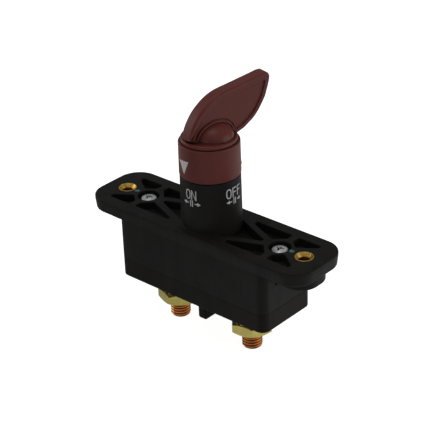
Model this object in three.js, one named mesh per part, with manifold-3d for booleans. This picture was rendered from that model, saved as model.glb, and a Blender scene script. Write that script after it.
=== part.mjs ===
// Rotary battery isolator switch: a turn handle on a round tower, a flange with two threaded
// inserts that fastens up against the back of a panel, a rectangular body, and two copper
// terminal studs below. Millimetres, +Z up. The origin is on the handle's axis, at the level of
// the flange's top face. +X runs along the flange towards the OFF side.
import * as THREE from 'three';
import { mergeVertices } from 'three/addons/utils/BufferGeometryUtils.js';
import Module from 'manifold-3d';

const wasm = await Module();
wasm.setup();

// ---------------------------------------------------------------- driving dimensions
const GAP = 0.3;                       // running and seating gap between pieces
// flange
const LIP_X = 67.3, LIP_Y = 18.5, LIP_R = 11.5, LIP_T = 2.3, LIP_EDGE = 0.9;
const SKIRT_X = 66.8, SKIRT_Y = 17.95, SKIRT_R = 11.0, FLANGE_T = 6.8;
const POCKET_FLOOR = -4.2, POCKET_Y = 11.3;
const BOSS_X = 64.6, BOSS_Y = 10.8, BOSS_R = 9.0, BOSS_BOTTOM = -12.5;
// body
const BODY_X = 46.1, BODY_Y = 17.95, BODY_R = 4.5, WALL = 2.6;
const HOUSING_BOTTOM = -27.6, CEILING = -6.5, BODY_BOTTOM = -37.7;
const GASKET_TOP = -27.9, GASKET_BOTTOM = -28.4, COVER_TOP = -28.7, COVER_FLOOR = -32.4;
// tower
const TOWER_R0 = 14.7, TOWER_R1 = 14.5, TOWER_TOP = 26.0, TOWER_BORE = 11.3, TOWER_ROOF = 22.5;
const NECK_R = 11.9, NECK_TOP = 33.1;
// threaded inserts and cover screws
const INSERT_X = 56.0, INSERT_R = 4.85, INSERT_BORE = 2.95, INSERT_BOTTOM = -9.4;
const SCREW_X = 41.6, SCREW_HEAD_R = 4.0, SCREW_R = 2.0, SCREW_BORE_R = 5.4, SCREW_SEAT = -3.4;
// terminals
const STUD_X = 23.5, STUD_R = 5.0, STUD_END = -60.9;
const HEAD_AF = 16.0, HEAD_TOP = -29.0, HEAD_SEAT = -33.8;
const PEDESTAL_R = 9.6, PEDESTAL_BOTTOM = -40.9;
const NUT_AF = 19.0, NUT_TOP = -45.7, NUT_BOTTOM = -50.5;
const WASHER_R = 10.0, WASHER_TOP = -41.2, WASHER_BOTTOM = -42.6;
const LOCK_R = 9.3, LOCK_TOP = -42.9, LOCK_BOTTOM = -45.4;
const FIN_X = 2.2, FIN_Y = 10.2, FIN_BOTTOM = -50.9, FIN_R = 1.6;
// mechanism
const SHAFT_R = 5.7, SHAFT_BOTTOM = -12.5, SHAFT_TOP = 48.0;
const PIN_R = 1.5, PIN_Z = -2.0, PIN_HALF = 9.3;
const HANDLE_SWEEP = 104;              // degrees from the ON stop to the OFF stop
const LIFT = 5.0;                      // how far the contact bridge rises over that sweep
const SLEEVE_R = 9.6, SLEEVE_BORE = 6.2, SLEEVE_TOP = 7.0, SLEEVE_BOTTOM = -18.6;
const CARRIER_BOTTOM = -22.6;
const BRIDGE_TOP = -22.9, BRIDGE_BOTTOM = -26.9, BRIDGE_X = 31.0, BRIDGE_Y = 6.5;
const PAD_TOP = -27.2, PAD_BOTTOM = -28.7, PAD_R = 6.3;
const SPRING_R = 9.6, SPRING_WIRE = 0.75, SPRING_TURNS = 5;
// handle and collar
const HANDLE_REST = -13;               // degrees: the handle's heading at its ON stop
const COLLAR_R0 = 14.7, COLLAR_R1 = 14.6, COLLAR_BORE = 12.3, COLLAR_BOTTOM = 26.35, COLLAR_TOP = 42.8;
const WEB_BOTTOM = 33.5, WEB_TOP = 36.0;
const PLUG_R = 11.9, PLUG_BOTTOM = 36.3, LIP2_R = 13.5, LIP2_BOTTOM = 43.2, LIP2_TOP = 44.9;
const DOME_R = 12.2, DOME_H = 9.3;
const PADDLE_T = 7.2, PADDLE_EDGE = 1.3, PADDLE_RIM = 1.7, PADDLE_SINK = 0.7;
// outline of the paddle in its own plane: distance from the axis, height
const PADDLE_FRONT = [[-13.07, 46.44], [-12.55, 48.72], [-11.56, 51.35], [-9.77, 54.51], [-7.01, 58.08], [-4.13, 60.56], [-1.32, 62.58], [1.94, 64.21], [5.75, 65.39], [10.85, 66.11]];
const PADDLE_TIP = [[30.3, 68.9], [32.5, 68.7], [33.6, 67.2], [33.6, 65.6]];
const PADDLE_BACK = [[32.89, 63.25], [31.85, 60.27], [30.71, 57.15], [28.83, 54.03], [26.19, 50.46], [23.42, 47.74], [20.63, 45.95], [17.87, 44.28], [14.39, 42.97]];

// ---------------------------------------------------------------- helpers
const rad = THREE.MathUtils.degToRad;

function solid(geometry) {
  const g = geometry.clone();
  g.deleteAttribute('normal');
  g.deleteAttribute('uv');
  const m = mergeVertices(g, 1e-4);
  const p = m.getAttribute('position').array;
  const src = m.getIndex().array;
  const tri = [];
  for (let i = 0; i < src.length; i += 3) {
    const [a, b, c] = [src[i], src[i + 1], src[i + 2]];
    if (a !== b && b !== c && a !== c) tri.push(a, b, c);
  }
  let volume = 0;
  const v = (k) => new THREE.Vector3(p[3 * k], p[3 * k + 1], p[3 * k + 2]);
  for (let i = 0; i < tri.length; i += 3) volume += v(tri[i]).dot(v(tri[i + 1]).cross(v(tri[i + 2])));
  if (volume < 0) for (let i = 0; i < tri.length; i += 3) [tri[i + 1], tri[i + 2]] = [tri[i + 2], tri[i + 1]];
  return new wasm.Manifold(new wasm.Mesh({ numProp: 3, vertProperties: new Float32Array(p), triVerts: new Uint32Array(tri) }));
}

const join = (...s) => s.reduce((a, b) => a.add(b));
const cut = (s, ...t) => t.reduce((a, b) => a.subtract(b), s);

function outline(x, y, r) {
  const s = new THREE.Shape();
  s.moveTo(x - r, -y);
  s.absarc(x - r, -y + r, r, -Math.PI / 2, 0, false);
  s.absarc(x - r, y - r, r, 0, Math.PI / 2, false);
  s.absarc(-x + r, y - r, r, Math.PI / 2, Math.PI, false);
  s.absarc(-x + r, -y + r, r, Math.PI, 1.5 * Math.PI, false);
  return s;
}

const polygon = (pts) => new THREE.Shape(pts.map(([x, y]) => new THREE.Vector2(x, y)));

function prism(shape, z0, z1, curveSegments = 6) {
  const g = new THREE.ExtrudeGeometry(shape, { depth: z1 - z0, bevelEnabled: false, curveSegments });
  g.translate(0, 0, z0);
  return solid(g);
}

function box(x0, x1, y0, y1, z0, z1) {
  const g = new THREE.BoxGeometry(x1 - x0, y1 - y0, z1 - z0);
  g.translate((x0 + x1) / 2, (y0 + y1) / 2, (z0 + z1) / 2);
  return solid(g);
}

// a rounded slab whose top and bottom edges are rounded by top and bottom
function slab(x, y, r, z0, z1, top, bottom, curveSegments = 6) {
  let s = prism(outline(x, y, r), z0, z1, curveSegments);
  for (const [b, up] of [[top, true], [bottom, false]]) {
    if (!b) continue;
    const g = new THREE.ExtrudeGeometry(outline(x - b, y - b, r - b), {
      depth: 200, bevelEnabled: true, bevelThickness: b, bevelSize: b, bevelSegments: 1, curveSegments,
    });
    g.translate(0, 0, up ? z1 - b - 200 : z0 + b);
    s = s.intersect(solid(g));
  }
  return s;
}

// the number of sides a round piece gets: a multiple of four, fewer on small ones
const sides = (n) => 4 * Math.max(3, Math.round(n * 0.16));

function lathe(profile, segments = 40) {
  const g = new THREE.LatheGeometry(profile.map(([r, z]) => new THREE.Vector2(r, z)), sides(segments));
  g.rotateX(Math.PI / 2);
  return solid(g);
}

const disc = (r, z0, z1, segments = 40, x = 0, y = 0) => lathe([[0, z0], [r, z0], [r, z1], [0, z1]], segments).translate([x, y, 0]);
const ring = (r0, r1, z0, z1, segments = 40, x = 0) => lathe([[r0, z0], [r1, z0], [r1, z1], [r0, z1], [r0, z0]], segments).translate([x, 0, 0]);

function torus(r, section, z, x = 0, segments = 32) {
  const profile = [];
  for (let k = 0; k <= 6; k++) {
    const a = 2 * Math.PI * k / 6;
    profile.push([r + section * Math.cos(a), z + section * Math.sin(a)]);
  }
  profile[6] = profile[0];
  return lathe(profile, segments).translate([x, 0, 0]);
}

// a round bar of radius r through the point (0, 0, z), lying in the horizontal plane at heading a degrees
function crossBar(r, half, z, a, segments = 12) {
  const g = new THREE.CylinderGeometry(r, r, 2 * half, segments);
  g.rotateZ(Math.PI / 2);
  g.rotateZ(rad(a));
  g.translate(0, 0, z);
  return solid(g);
}

function hexagon(af, heading, z0, z1, x = 0) {
  const R = af / Math.sqrt(3);
  const pts = [];
  for (let k = 0; k < 6; k++) {
    const a = rad(heading + 60 * k);
    pts.push([x + R * Math.cos(a), R * Math.sin(a)]);
  }
  return prism(polygon(pts), z0, z1);
}

function meshOf(name, s, color, roughness, metalness) {
  const m = s.getMesh();
  const g = new THREE.BufferGeometry();
  const pos = new Float32Array(m.numVert * 3);
  for (let i = 0; i < m.numVert; i++) for (let k = 0; k < 3; k++) pos[3 * i + k] = m.vertProperties[m.numProp * i + k];
  g.setAttribute('position', new THREE.BufferAttribute(pos, 3));
  g.setIndex(new THREE.BufferAttribute(new Uint32Array(m.triVerts), 1));
  g.computeVertexNormals();
  const mesh = new THREE.Mesh(g, new THREE.MeshStandardMaterial({ color, roughness, metalness }));
  mesh.name = name;
  return mesh;
}

const BLACK = [0x1f1e1d, 0.62, 0.0], RED = [0x5a2b27, 0.42, 0.0], BRASS = [0xc9a34e, 0.28, 1.0];
const YELLOW = [0xb9a85c, 0.3, 1.0], COPPER = [0xc07a4a, 0.3, 1.0], ZINC = [0xc6c8c9, 0.28, 1.0];
const STEEL = [0x8f9194, 0.35, 1.0], NYLON = [0xd9d4c4, 0.5, 0.0], RUBBER = [0x17181a, 0.8, 0.0], SILVER = [0xd3d4d2, 0.25, 1.0];

// ---------------------------------------------------------------- housing
function housing() {
  // flange: a proud lip on a skirt, with a boss under each end
  let s = join(
    slab(LIP_X, LIP_Y, LIP_R, -LIP_T, 0, LIP_EDGE, 0),
    prism(outline(SKIRT_X, SKIRT_Y, SKIRT_R), -FLANGE_T, -LIP_T + 0.2),
    slab(BOSS_X, BOSS_Y, BOSS_R, BOSS_BOTTOM, -FLANGE_T + 1, 0, 0.8),
    prism(outline(BODY_X, BODY_Y, BODY_R), HOUSING_BOTTOM, -1),
  );
  // tower and its neck
  s = join(s, lathe([[0, -3], [TOWER_R0, -3], [TOWER_R0, 0], [TOWER_R1, TOWER_TOP], [NECK_R, TOWER_TOP], [NECK_R, NECK_TOP], [0, NECK_TOP]], 56));

  // weight-saving pockets in the flange's top face, one pattern in four corners
  const end = [[44.1, 11.3], [55.9, 11.3], [55.7, 9.8], [50.2, 7.0], [47.6, 4.9], [44.1, 8.6]];
  const side = [[18.4, 11.3], [39.1, 11.3], [39.1, 8.8], [35.0, 4.7]];
  const centre = [[30.6, 0], [20.4, 4.2], [11.5, 8.2], [11.5, -8.2], [20.4, -4.2]];
  const flip = (pts, sx, sy) => pts.map(([x, y]) => [sx * x, sy * y]);
  const keep = [disc(TOWER_R0, -10, 5, 56), disc(6.9, -10, 5, 24, SCREW_X), disc(6.9, -10, 5, 24, -SCREW_X),
    disc(7.2, -10, 5, 24, INSERT_X), disc(7.2, -10, 5, 24, -INSERT_X)];
  for (const sx of [1, -1]) {
    for (const sy of [1, -1]) {
      for (const pts of [end, side]) {
        let p = flip(pts, sx, sy);
        if (sx * sy < 0) p = p.reverse();
        s = s.subtract(cut(prism(polygon(p), POCKET_FLOOR, 3), ...keep));
      }
    }
    let c = flip(centre, sx, 1);
    s = s.subtract(cut(prism(polygon(c), POCKET_FLOOR, 3), ...keep));
  }

  // cavity of the body and bore of the tower
  s = s.subtract(prism(outline(BODY_X - WALL, BODY_Y - WALL, 2.2), HOUSING_BOTTOM - 1, CEILING, 4));
  s = s.subtract(disc(TOWER_BORE, CEILING - 1, TOWER_ROOF, 48));
  s = s.subtract(disc(SHAFT_R + 0.4, TOWER_ROOF - 1, NECK_TOP + 1, 32));
  s = s.subtract(ring(SHAFT_R, 8.1, 28.0, 30.2, 32));

  // screw columns and the guides of the carrier's ears
  for (const sx of [1, -1]) {
    s = s.add(disc(4.3, HOUSING_BOTTOM, CEILING + 0.5, 24, sx * SCREW_X));
    for (const sy of [1, -1]) s = s.add(box(Math.min(sx * 6.7, sx * 8.9), Math.max(sx * 6.7, sx * 8.9), Math.min(sy * 11.6, sy * 15.8), Math.max(sy * 11.6, sy * 15.8), HOUSING_BOTTOM + 0.6, CEILING + 0.5));
  }
  for (const sx of [1, -1]) {
    s = cut(s,
      disc(SCREW_BORE_R, SCREW_SEAT, 3, 32, sx * SCREW_X),
      disc(SCREW_R + GAP, HOUSING_BOTTOM - 1, 1, 20, sx * SCREW_X),
      disc(INSERT_R + GAP, INSERT_BOTTOM - GAP, 3, 32, sx * INSERT_X),
      disc(INSERT_BORE + 0.35, BOSS_BOTTOM - 1, -5, 24, sx * INSERT_X));
  }
  // small blind locating hole in the end wall
  const pip = new THREE.CylinderGeometry(0.8, 0.8, 3, 12);
  pip.rotateZ(Math.PI / 2);
  pip.translate(BODY_X, -8.3, -14.4);
  return s.subtract(solid(pip));
}

// ---------------------------------------------------------------- base cover and gasket
function baseCover() {
  let s = slab(BODY_X, BODY_Y - 0.05, BODY_R, BODY_BOTTOM, COVER_TOP, 0, 1.4);
  s = s.subtract(prism(outline(BODY_X - 3.1, BODY_Y - 3.1, 2.0), COVER_FLOOR, COVER_TOP + 1, 4));
  for (const sx of [1, -1]) {
    s = s.add(disc(4.3, COVER_FLOOR - 1, COVER_TOP, 24, sx * SCREW_X));
    s = s.add(disc(PEDESTAL_R, PEDESTAL_BOTTOM, BODY_BOTTOM + 1, 40, sx * STUD_X));
  }
  // barrier between the two terminals, round at its lower corners
  const fin = new THREE.Shape();
  fin.moveTo(-FIN_Y, 0);
  fin.lineTo(FIN_Y, 0);
  fin.lineTo(FIN_Y, -(BODY_BOTTOM - FIN_BOTTOM) + FIN_R);
  fin.absarc(FIN_Y - FIN_R, -(BODY_BOTTOM - FIN_BOTTOM) + FIN_R, FIN_R, 0, -Math.PI / 2, true);
  fin.lineTo(-FIN_Y + FIN_R, -(BODY_BOTTOM - FIN_BOTTOM));
  fin.absarc(-FIN_Y + FIN_R, -(BODY_BOTTOM - FIN_BOTTOM) + FIN_R, FIN_R, -Math.PI / 2, -Math.PI, true);
  const g = new THREE.ExtrudeGeometry(fin, { depth: 2 * FIN_X, bevelEnabled: false, curveSegments: 6 });
  g.translate(0, 0, -FIN_X);
  g.rotateX(Math.PI / 2);
  g.rotateZ(Math.PI / 2);
  g.translate(0, 0, BODY_BOTTOM + 0.8);
  s = s.add(solid(g));
  for (const sx of [1, -1]) {
    s = cut(s,
      hexagon(HEAD_AF + 0.7, 30, HEAD_SEAT, COVER_TOP + 1, sx * STUD_X),
      disc(STUD_R + 0.35, PEDESTAL_BOTTOM - 1, COVER_TOP, 28, sx * STUD_X),
      disc(7.9, HEAD_SEAT - 2.0, HEAD_SEAT + 0.5, 28, sx * STUD_X),
      disc(SCREW_R + GAP, -34.4, COVER_TOP + 1, 20, sx * SCREW_X));
  }
  return s;
}

function baseGasket() {
  let s = prism(outline(BODY_X - 0.5, BODY_Y - 0.5, BODY_R - 0.5), GASKET_BOTTOM, GASKET_TOP, 5);
  let hole = prism(outline(BODY_X - 2.5, BODY_Y - 2.5, 2.3), GASKET_BOTTOM - 1, GASKET_TOP + 1, 4);
  for (const sx of [1, -1]) hole = hole.subtract(disc(4.2, GASKET_BOTTOM - 2, GASKET_TOP + 2, 20, sx * SCREW_X));
  s = s.subtract(hole);
  for (const sx of [1, -1]) s = s.subtract(disc(SCREW_R + GAP, GASKET_BOTTOM - 1, GASKET_TOP + 1, 20, sx * SCREW_X));
  return s;
}

// ---------------------------------------------------------------- fasteners and terminals
const insert = (sx) => lathe([[INSERT_BORE, INSERT_BOTTOM], [INSERT_R - 0.5, INSERT_BOTTOM], [INSERT_R, INSERT_BOTTOM + 0.6], [INSERT_R, -0.15], [INSERT_R - 0.15, 0], [INSERT_BORE + 0.5, 0], [INSERT_BORE, -0.5], [INSERT_BORE, INSERT_BOTTOM]], 32).translate([sx * INSERT_X, 0, 0]);

function coverScrew(sx) {
  const s = lathe([[0, -33.6], [SCREW_R - 0.6, -33.6], [SCREW_R, -32.6], [SCREW_R, SCREW_SEAT + GAP], [SCREW_HEAD_R, SCREW_SEAT + GAP], [SCREW_HEAD_R, -1.4], [SCREW_HEAD_R - 0.7, -0.75], [SCREW_HEAD_R - 2, -0.45], [0, -0.35]], 24);
  return cut(s, box(-2.3, 2.3, -0.45, 0.45, -1.7, 1), box(-0.45, 0.45, -2.3, 2.3, -1.7, 1)).translate([sx * SCREW_X, 0, 0]);
}

function stud(sx) {
  const s = lathe([[0, STUD_END], [STUD_R - 0.9, STUD_END], [STUD_R, STUD_END + 0.9], [STUD_R, HEAD_SEAT + 1], [0, HEAD_SEAT + 1]], 28).translate([sx * STUD_X, 0, 0]);
  return join(s, hexagon(HEAD_AF, 30, HEAD_SEAT + GAP, HEAD_TOP, sx * STUD_X));
}

function nut(sx, heading) {
  const R = NUT_AF / Math.sqrt(3), a = NUT_AF / 2 - 0.2, d = (R - a) * Math.tan(rad(30));
  const chamfer = lathe([[0, NUT_BOTTOM], [a, NUT_BOTTOM], [R + 0.1, NUT_BOTTOM + d], [R + 0.1, NUT_TOP - d], [a, NUT_TOP], [0, NUT_TOP]], 48);
  return cut(hexagon(NUT_AF, heading, NUT_BOTTOM, NUT_TOP).intersect(chamfer),
    disc(STUD_R + 0.35, NUT_BOTTOM - 1, NUT_TOP + 1, 28)).translate([sx * STUD_X, 0, 0]);
}

const flatWasher = (sx) => ring(STUD_R + 0.4, WASHER_R, WASHER_BOTTOM, WASHER_TOP, 36, sx * STUD_X);
const lockWasher = (sx) => ring(STUD_R + 0.35, LOCK_R, LOCK_BOTTOM, LOCK_TOP, 36, 0)
  .subtract(solid(new THREE.BoxGeometry(8, 1.5, 8).rotateX(rad(35)).translate(7.5, 0, (LOCK_TOP + LOCK_BOTTOM) / 2).rotateZ(rad(-95))))
  .translate([sx * STUD_X, 0, 0]);
const studSeal = (sx) => torus(6.6, 0.8, HEAD_SEAT - 0.9, sx * STUD_X, 28);

// ---------------------------------------------------------------- turning group, drawn with the paddle along +Y
const paddleOutline = () => polygon([...PADDLE_FRONT, ...PADDLE_TIP, ...PADDLE_BACK, [8, 43.4], [-8, 43.4]]);

// the sunk face's outline: the front and the back edge, each moved in by the rim's width
function sunkOutline(inset) {
  const moved = (pts) => pts.map(([u, z], i) => {
    const a = pts[Math.max(i - 1, 0)], b = pts[Math.min(i + 1, pts.length - 1)];
    const l = Math.hypot(b[0] - a[0], b[1] - a[1]);
    return [u + (b[1] - a[1]) / l * inset, z - (b[0] - a[0]) / l * inset];
  });
  return polygon([...moved(PADDLE_FRONT), ...moved(PADDLE_BACK)]);
}

function handle() {
  const flat = new THREE.ExtrudeGeometry(paddleOutline(), { depth: PADDLE_T - 2 * PADDLE_EDGE, bevelEnabled: true, bevelThickness: PADDLE_EDGE, bevelSize: PADDLE_EDGE, bevelOffset: -PADDLE_EDGE, bevelSegments: 2, curveSegments: 4 });
  flat.translate(0, 0, -(PADDLE_T - 2 * PADDLE_EDGE) / 2);
  const stand = (g) => { g.rotateX(Math.PI / 2); g.rotateZ(Math.PI / 2); return solid(g); };
  let paddle = stand(flat);
  for (const side of [1, -1]) {
    const g = new THREE.ExtrudeGeometry(sunkOutline(PADDLE_EDGE + PADDLE_RIM), { depth: 5, bevelEnabled: false });
    g.translate(0, 0, side > 0 ? PADDLE_T / 2 - PADDLE_SINK : -PADDLE_T / 2 + PADDLE_SINK - 5);
    paddle = paddle.subtract(stand(g));
  }
  const hub = [[0, PLUG_BOTTOM], [PLUG_R, PLUG_BOTTOM], [PLUG_R, LIP2_BOTTOM], [LIP2_R, LIP2_BOTTOM], [LIP2_R, LIP2_TOP - 0.6], [LIP2_R - 0.6, LIP2_TOP]];
  for (let k = 0; k <= 6; k++) {
    const a = rad(90 * k / 6);
    hub.push([DOME_R * Math.cos(a) * (k < 6 ? 1 : 0), LIP2_TOP + DOME_H * Math.sin(a)]);
  }
  let s = join(lathe(hub, 48), paddle);
  s = cut(s, disc(SHAFT_R + GAP, PLUG_BOTTOM - 1, SHAFT_TOP + 0.4, 28), crossBar(PIN_R + GAP, 14, 39.6, 0));
  return s;
}

const collar = () => lathe([[COLLAR_BORE, COLLAR_BOTTOM], [COLLAR_R0 - 0.3, COLLAR_BOTTOM], [COLLAR_R0, COLLAR_BOTTOM + 0.3], [COLLAR_R1, COLLAR_TOP - 0.5], [COLLAR_R1 - 0.5, COLLAR_TOP], [COLLAR_BORE, COLLAR_TOP],
  [COLLAR_BORE, WEB_TOP], [SHAFT_R + GAP, WEB_TOP], [SHAFT_R + GAP, WEB_BOTTOM], [COLLAR_BORE, WEB_BOTTOM], [COLLAR_BORE, COLLAR_BOTTOM]], 56);

function shaft() {
  const s = lathe([[0, SHAFT_BOTTOM], [SHAFT_R - 0.6, SHAFT_BOTTOM], [SHAFT_R, SHAFT_BOTTOM + 0.6], [SHAFT_R, 20.7], [4.4, 20.7], [4.4, 22.4], [SHAFT_R, 22.4], [SHAFT_R, SHAFT_TOP - 0.6], [SHAFT_R - 0.6, SHAFT_TOP], [0, SHAFT_TOP]], 28);
  return cut(s, crossBar(PIN_R + GAP, 14, 39.6, 0), crossBar(PIN_R + GAP, 14, PIN_Z, 38 - HANDLE_REST));
}

const clip = () => ring(4.7, 8.2, 21.0, 22.1, 28).subtract(box(-3.2, 3.2, 0, 12, 18, 25));

// ---------------------------------------------------------------- lifting group
function carrier() {
  let s = join(
    lathe([[0, CARRIER_BOTTOM], [SLEEVE_R, CARRIER_BOTTOM], [SLEEVE_R, 5.0], [10.8, 5.4], [10.8, SLEEVE_TOP], [SLEEVE_BORE, SLEEVE_TOP], [SLEEVE_BORE, SLEEVE_BOTTOM], [0, SLEEVE_BOTTOM]], 40),
    box(-12, 12, -BRIDGE_Y, BRIDGE_Y, CARRIER_BOTTOM, SLEEVE_BOTTOM),
    box(-6.3, 6.3, -14.9, -8.0, CARRIER_BOTTOM, -14.0), box(-6.3, 6.3, 8.0, 14.9, CARRIER_BOTTOM, -14.0),
    lathe([[0, -29.4], [3.7, -29.4], [4.2, -28.9], [4.2, -28.5], [3.2, -28.5], [3.2, -27.1], [4.2, -27.1], [4.2, CARRIER_BOTTOM + 0.5], [0, CARRIER_BOTTOM + 0.5]], 28),
  );
  // two helical slots that the drive pin runs in; the pin starts at the top of each
  const steps = Math.ceil(HANDLE_SWEEP / 8.7);
  for (const start of [38, 218]) {
    for (let k = 0; k <= steps; k++) {
      const f = k / steps, wide = k === 0 || k === steps ? 4.4 : 3.0;
      const g = new THREE.BoxGeometry(5.4, wide, 2 * (PIN_R + 0.65));
      g.translate(8, 0, PIN_Z - LIFT * f);
      g.rotateZ(rad(start + HANDLE_SWEEP * f));
      s = s.subtract(solid(g));
    }
  }
  return s;
}

const bridge = () => cut(prism(outline(BRIDGE_X, BRIDGE_Y, 3), BRIDGE_BOTTOM, BRIDGE_TOP, 4), disc(4.5, BRIDGE_BOTTOM - 1, BRIDGE_TOP + 1, 28));
const pad = (sx) => disc(PAD_R, PAD_BOTTOM, PAD_TOP, 28, sx * STUD_X);
const carrierClip = () => ring(3.5, 7.0, -28.2, -27.4, 28).subtract(box(-2.4, 2.4, 0, 12, -30, -25));

class Helix extends THREE.Curve {
  getPoint(t, target = new THREE.Vector3()) {
    const a = 2 * Math.PI * SPRING_TURNS * t, z0 = SLEEVE_TOP + GAP + SPRING_WIRE, z1 = TOWER_ROOF - GAP - SPRING_WIRE;
    return target.set(SPRING_R * Math.cos(a), SPRING_R * Math.sin(a), z0 + (z1 - z0) * t);
  }
}

function spring() {
  const section = new THREE.Shape();
  section.absarc(0, 0, SPRING_WIRE, 0, 2 * Math.PI, false);
  return solid(new THREE.ExtrudeGeometry(section, { steps: 12 * SPRING_TURNS, bevelEnabled: false, extrudePath: new Helix(), curveSegments: 3 }));
}

// ---------------------------------------------------------------- assembly
const group = new THREE.Group();
group.add(
  meshOf('housing', housing(), ...BLACK),
  meshOf('base_cover', baseCover(), ...BLACK),
  meshOf('base_gasket', baseGasket(), ...RUBBER),
  meshOf('insert_left', insert(-1), ...BRASS), meshOf('insert_right', insert(1), ...BRASS),
  meshOf('cover_screw_left', coverScrew(-1), ...ZINC), meshOf('cover_screw_right', coverScrew(1), ...ZINC),
  meshOf('terminal_stud_left', stud(-1), ...COPPER), meshOf('terminal_stud_right', stud(1), ...COPPER),
  meshOf('stud_seal_left', studSeal(-1), ...RUBBER), meshOf('stud_seal_right', studSeal(1), ...RUBBER),
  meshOf('flat_washer_left', flatWasher(-1), ...BRASS), meshOf('flat_washer_right', flatWasher(1), ...BRASS),
  meshOf('lock_washer_left', lockWasher(-1), ...YELLOW), meshOf('lock_washer_right', lockWasher(1), ...YELLOW),
  meshOf('terminal_nut_left', nut(-1, -77.4), ...YELLOW), meshOf('terminal_nut_right', nut(1, -50), ...YELLOW),
  meshOf('shaft_seal', torus(6.95, 0.8, 29.1, 0, 32), ...RUBBER),
  meshOf('contact_spring', spring(), ...STEEL),
);

const turning = new THREE.Group();
turning.rotation.z = rad(HANDLE_REST);
turning.add(
  meshOf('handle', handle(), ...RED),
  meshOf('indicator_collar', collar(), ...RED),
  meshOf('handle_shaft', shaft(), ...STEEL),
  meshOf('handle_roll_pin', crossBar(PIN_R, 11.5, 39.6, 0), ...STEEL),
  meshOf('drive_pin', crossBar(PIN_R, PIN_HALF, PIN_Z, 38 - HANDLE_REST), ...STEEL),
  meshOf('shaft_retaining_clip', clip(), ...STEEL),
);
group.add(turning);

group.add(
  meshOf('bridge_carrier', carrier(), ...NYLON),
  meshOf('contact_bridge', bridge(), ...COPPER),
  meshOf('contact_pad_left', pad(-1), ...SILVER), meshOf('contact_pad_right', pad(1), ...SILVER),
  meshOf('carrier_clip', carrierClip(), ...STEEL),
);

export default group;
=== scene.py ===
import math

import bmesh
import bpy
import numpy as np
from mathutils import Matrix, Vector


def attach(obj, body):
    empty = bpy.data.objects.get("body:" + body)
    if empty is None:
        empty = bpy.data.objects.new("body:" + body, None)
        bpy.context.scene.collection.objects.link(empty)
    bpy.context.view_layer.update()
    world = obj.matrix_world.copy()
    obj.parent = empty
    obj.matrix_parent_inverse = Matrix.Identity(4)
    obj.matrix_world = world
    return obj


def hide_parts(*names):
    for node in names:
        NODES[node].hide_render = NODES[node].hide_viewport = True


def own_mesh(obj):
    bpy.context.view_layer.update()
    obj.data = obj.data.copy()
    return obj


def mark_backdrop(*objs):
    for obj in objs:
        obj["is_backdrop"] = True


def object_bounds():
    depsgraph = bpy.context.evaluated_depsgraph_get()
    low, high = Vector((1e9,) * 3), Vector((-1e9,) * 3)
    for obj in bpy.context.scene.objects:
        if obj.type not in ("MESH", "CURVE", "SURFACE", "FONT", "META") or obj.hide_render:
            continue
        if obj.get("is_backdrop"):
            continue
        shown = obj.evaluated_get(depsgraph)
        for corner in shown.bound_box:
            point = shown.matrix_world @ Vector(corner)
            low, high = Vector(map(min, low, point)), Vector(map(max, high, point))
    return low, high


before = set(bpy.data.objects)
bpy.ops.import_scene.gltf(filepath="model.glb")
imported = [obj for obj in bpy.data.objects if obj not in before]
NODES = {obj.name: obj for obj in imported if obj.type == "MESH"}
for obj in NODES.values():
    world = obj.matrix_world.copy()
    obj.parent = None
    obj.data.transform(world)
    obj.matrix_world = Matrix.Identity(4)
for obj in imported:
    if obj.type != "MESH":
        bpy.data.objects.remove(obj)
CAD_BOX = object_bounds()
SCENE = bpy.context.scene
S = 0.001                       # shapes below are drawn in millimetres

# ---------------------------------------------------------------- dimensions, as in the CAD
LIP_X, LIP_Y, LIP_R, LIP_T = 67.3, 18.5, 11.5, 2.3
SKIRT_X, SKIRT_Y, SKIRT_R, FLANGE_T = 66.8, 18.0, 11.0, 6.8
POCKET_FLOOR = -4.2
BOSS_X, BOSS_Y, BOSS_R, BOSS_BOTTOM = 64.6, 10.8, 9.0, -12.5
BODY_X, BODY_Y, BODY_R, WALL = 46.1, 17.95, 4.5, 2.6
CEILING, BODY_BOTTOM, COVER_FLOOR = -6.5, -37.7, -32.4
SEAM_TOP, SEAM_BOTTOM = -28.08, -28.21
TOWER_R0, TOWER_R1, TOWER_TOP, TOWER_BORE, TOWER_ROOF = 14.7, 14.5, 26.0, 11.3, 22.5
NECK_R, NECK_TOP = 11.9, 33.1
INSERT_X, INSERT_R, INSERT_BOTTOM = 56.0, 4.5, -9.4
SCREW_X, SCREW_HEAD_R, SCREW_R, SCREW_BORE_R, SCREW_SEAT = 41.6, 4.0, 2.0, 5.4, -3.4
STUD_X, STUD_R, STUD_END = 23.5, 5.0, -60.9
HEAD_AF, HEAD_TOP, HEAD_SEAT = 16.0, -29.0, -33.8
PEDESTAL_R, PEDESTAL_BOTTOM = 9.6, -40.9
NUT_AF, NUT_TOP, NUT_BOTTOM = 19.0, -45.6, -51.1
WASHER_R, WASHER_TOP, WASHER_BOTTOM = 10.0, -41.2, -42.6
LOCK_R, LOCK_TOP, LOCK_BOTTOM = 9.3, -42.9, -45.4
FIN_X, FIN_Y, FIN_BOTTOM = 2.2, 10.2, -50.9
SHAFT_R, SHAFT_BOTTOM, SHAFT_TOP = 5.7, -12.5, 48.0
PIN_R, PIN_Z = 1.5, -2.0
SLEEVE_R, SLEEVE_BORE, SLEEVE_TOP, SLEEVE_BOTTOM, CARRIER_BOTTOM = 9.6, 6.2, 7.0, -18.6, -22.6
HANDLE_SWEEP, LIFT = 104.0, 5.0
BRIDGE_TOP, BRIDGE_BOTTOM, BRIDGE_X, BRIDGE_Y = -22.9, -26.9, 31.0, 6.5
PAD_TOP, PAD_BOTTOM, PAD_R = -27.2, -28.7, 6.3
SPRING_R, SPRING_WIRE, SPRING_TURNS = 9.6, 0.75, 5
HANDLE_REST = -13.0
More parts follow.
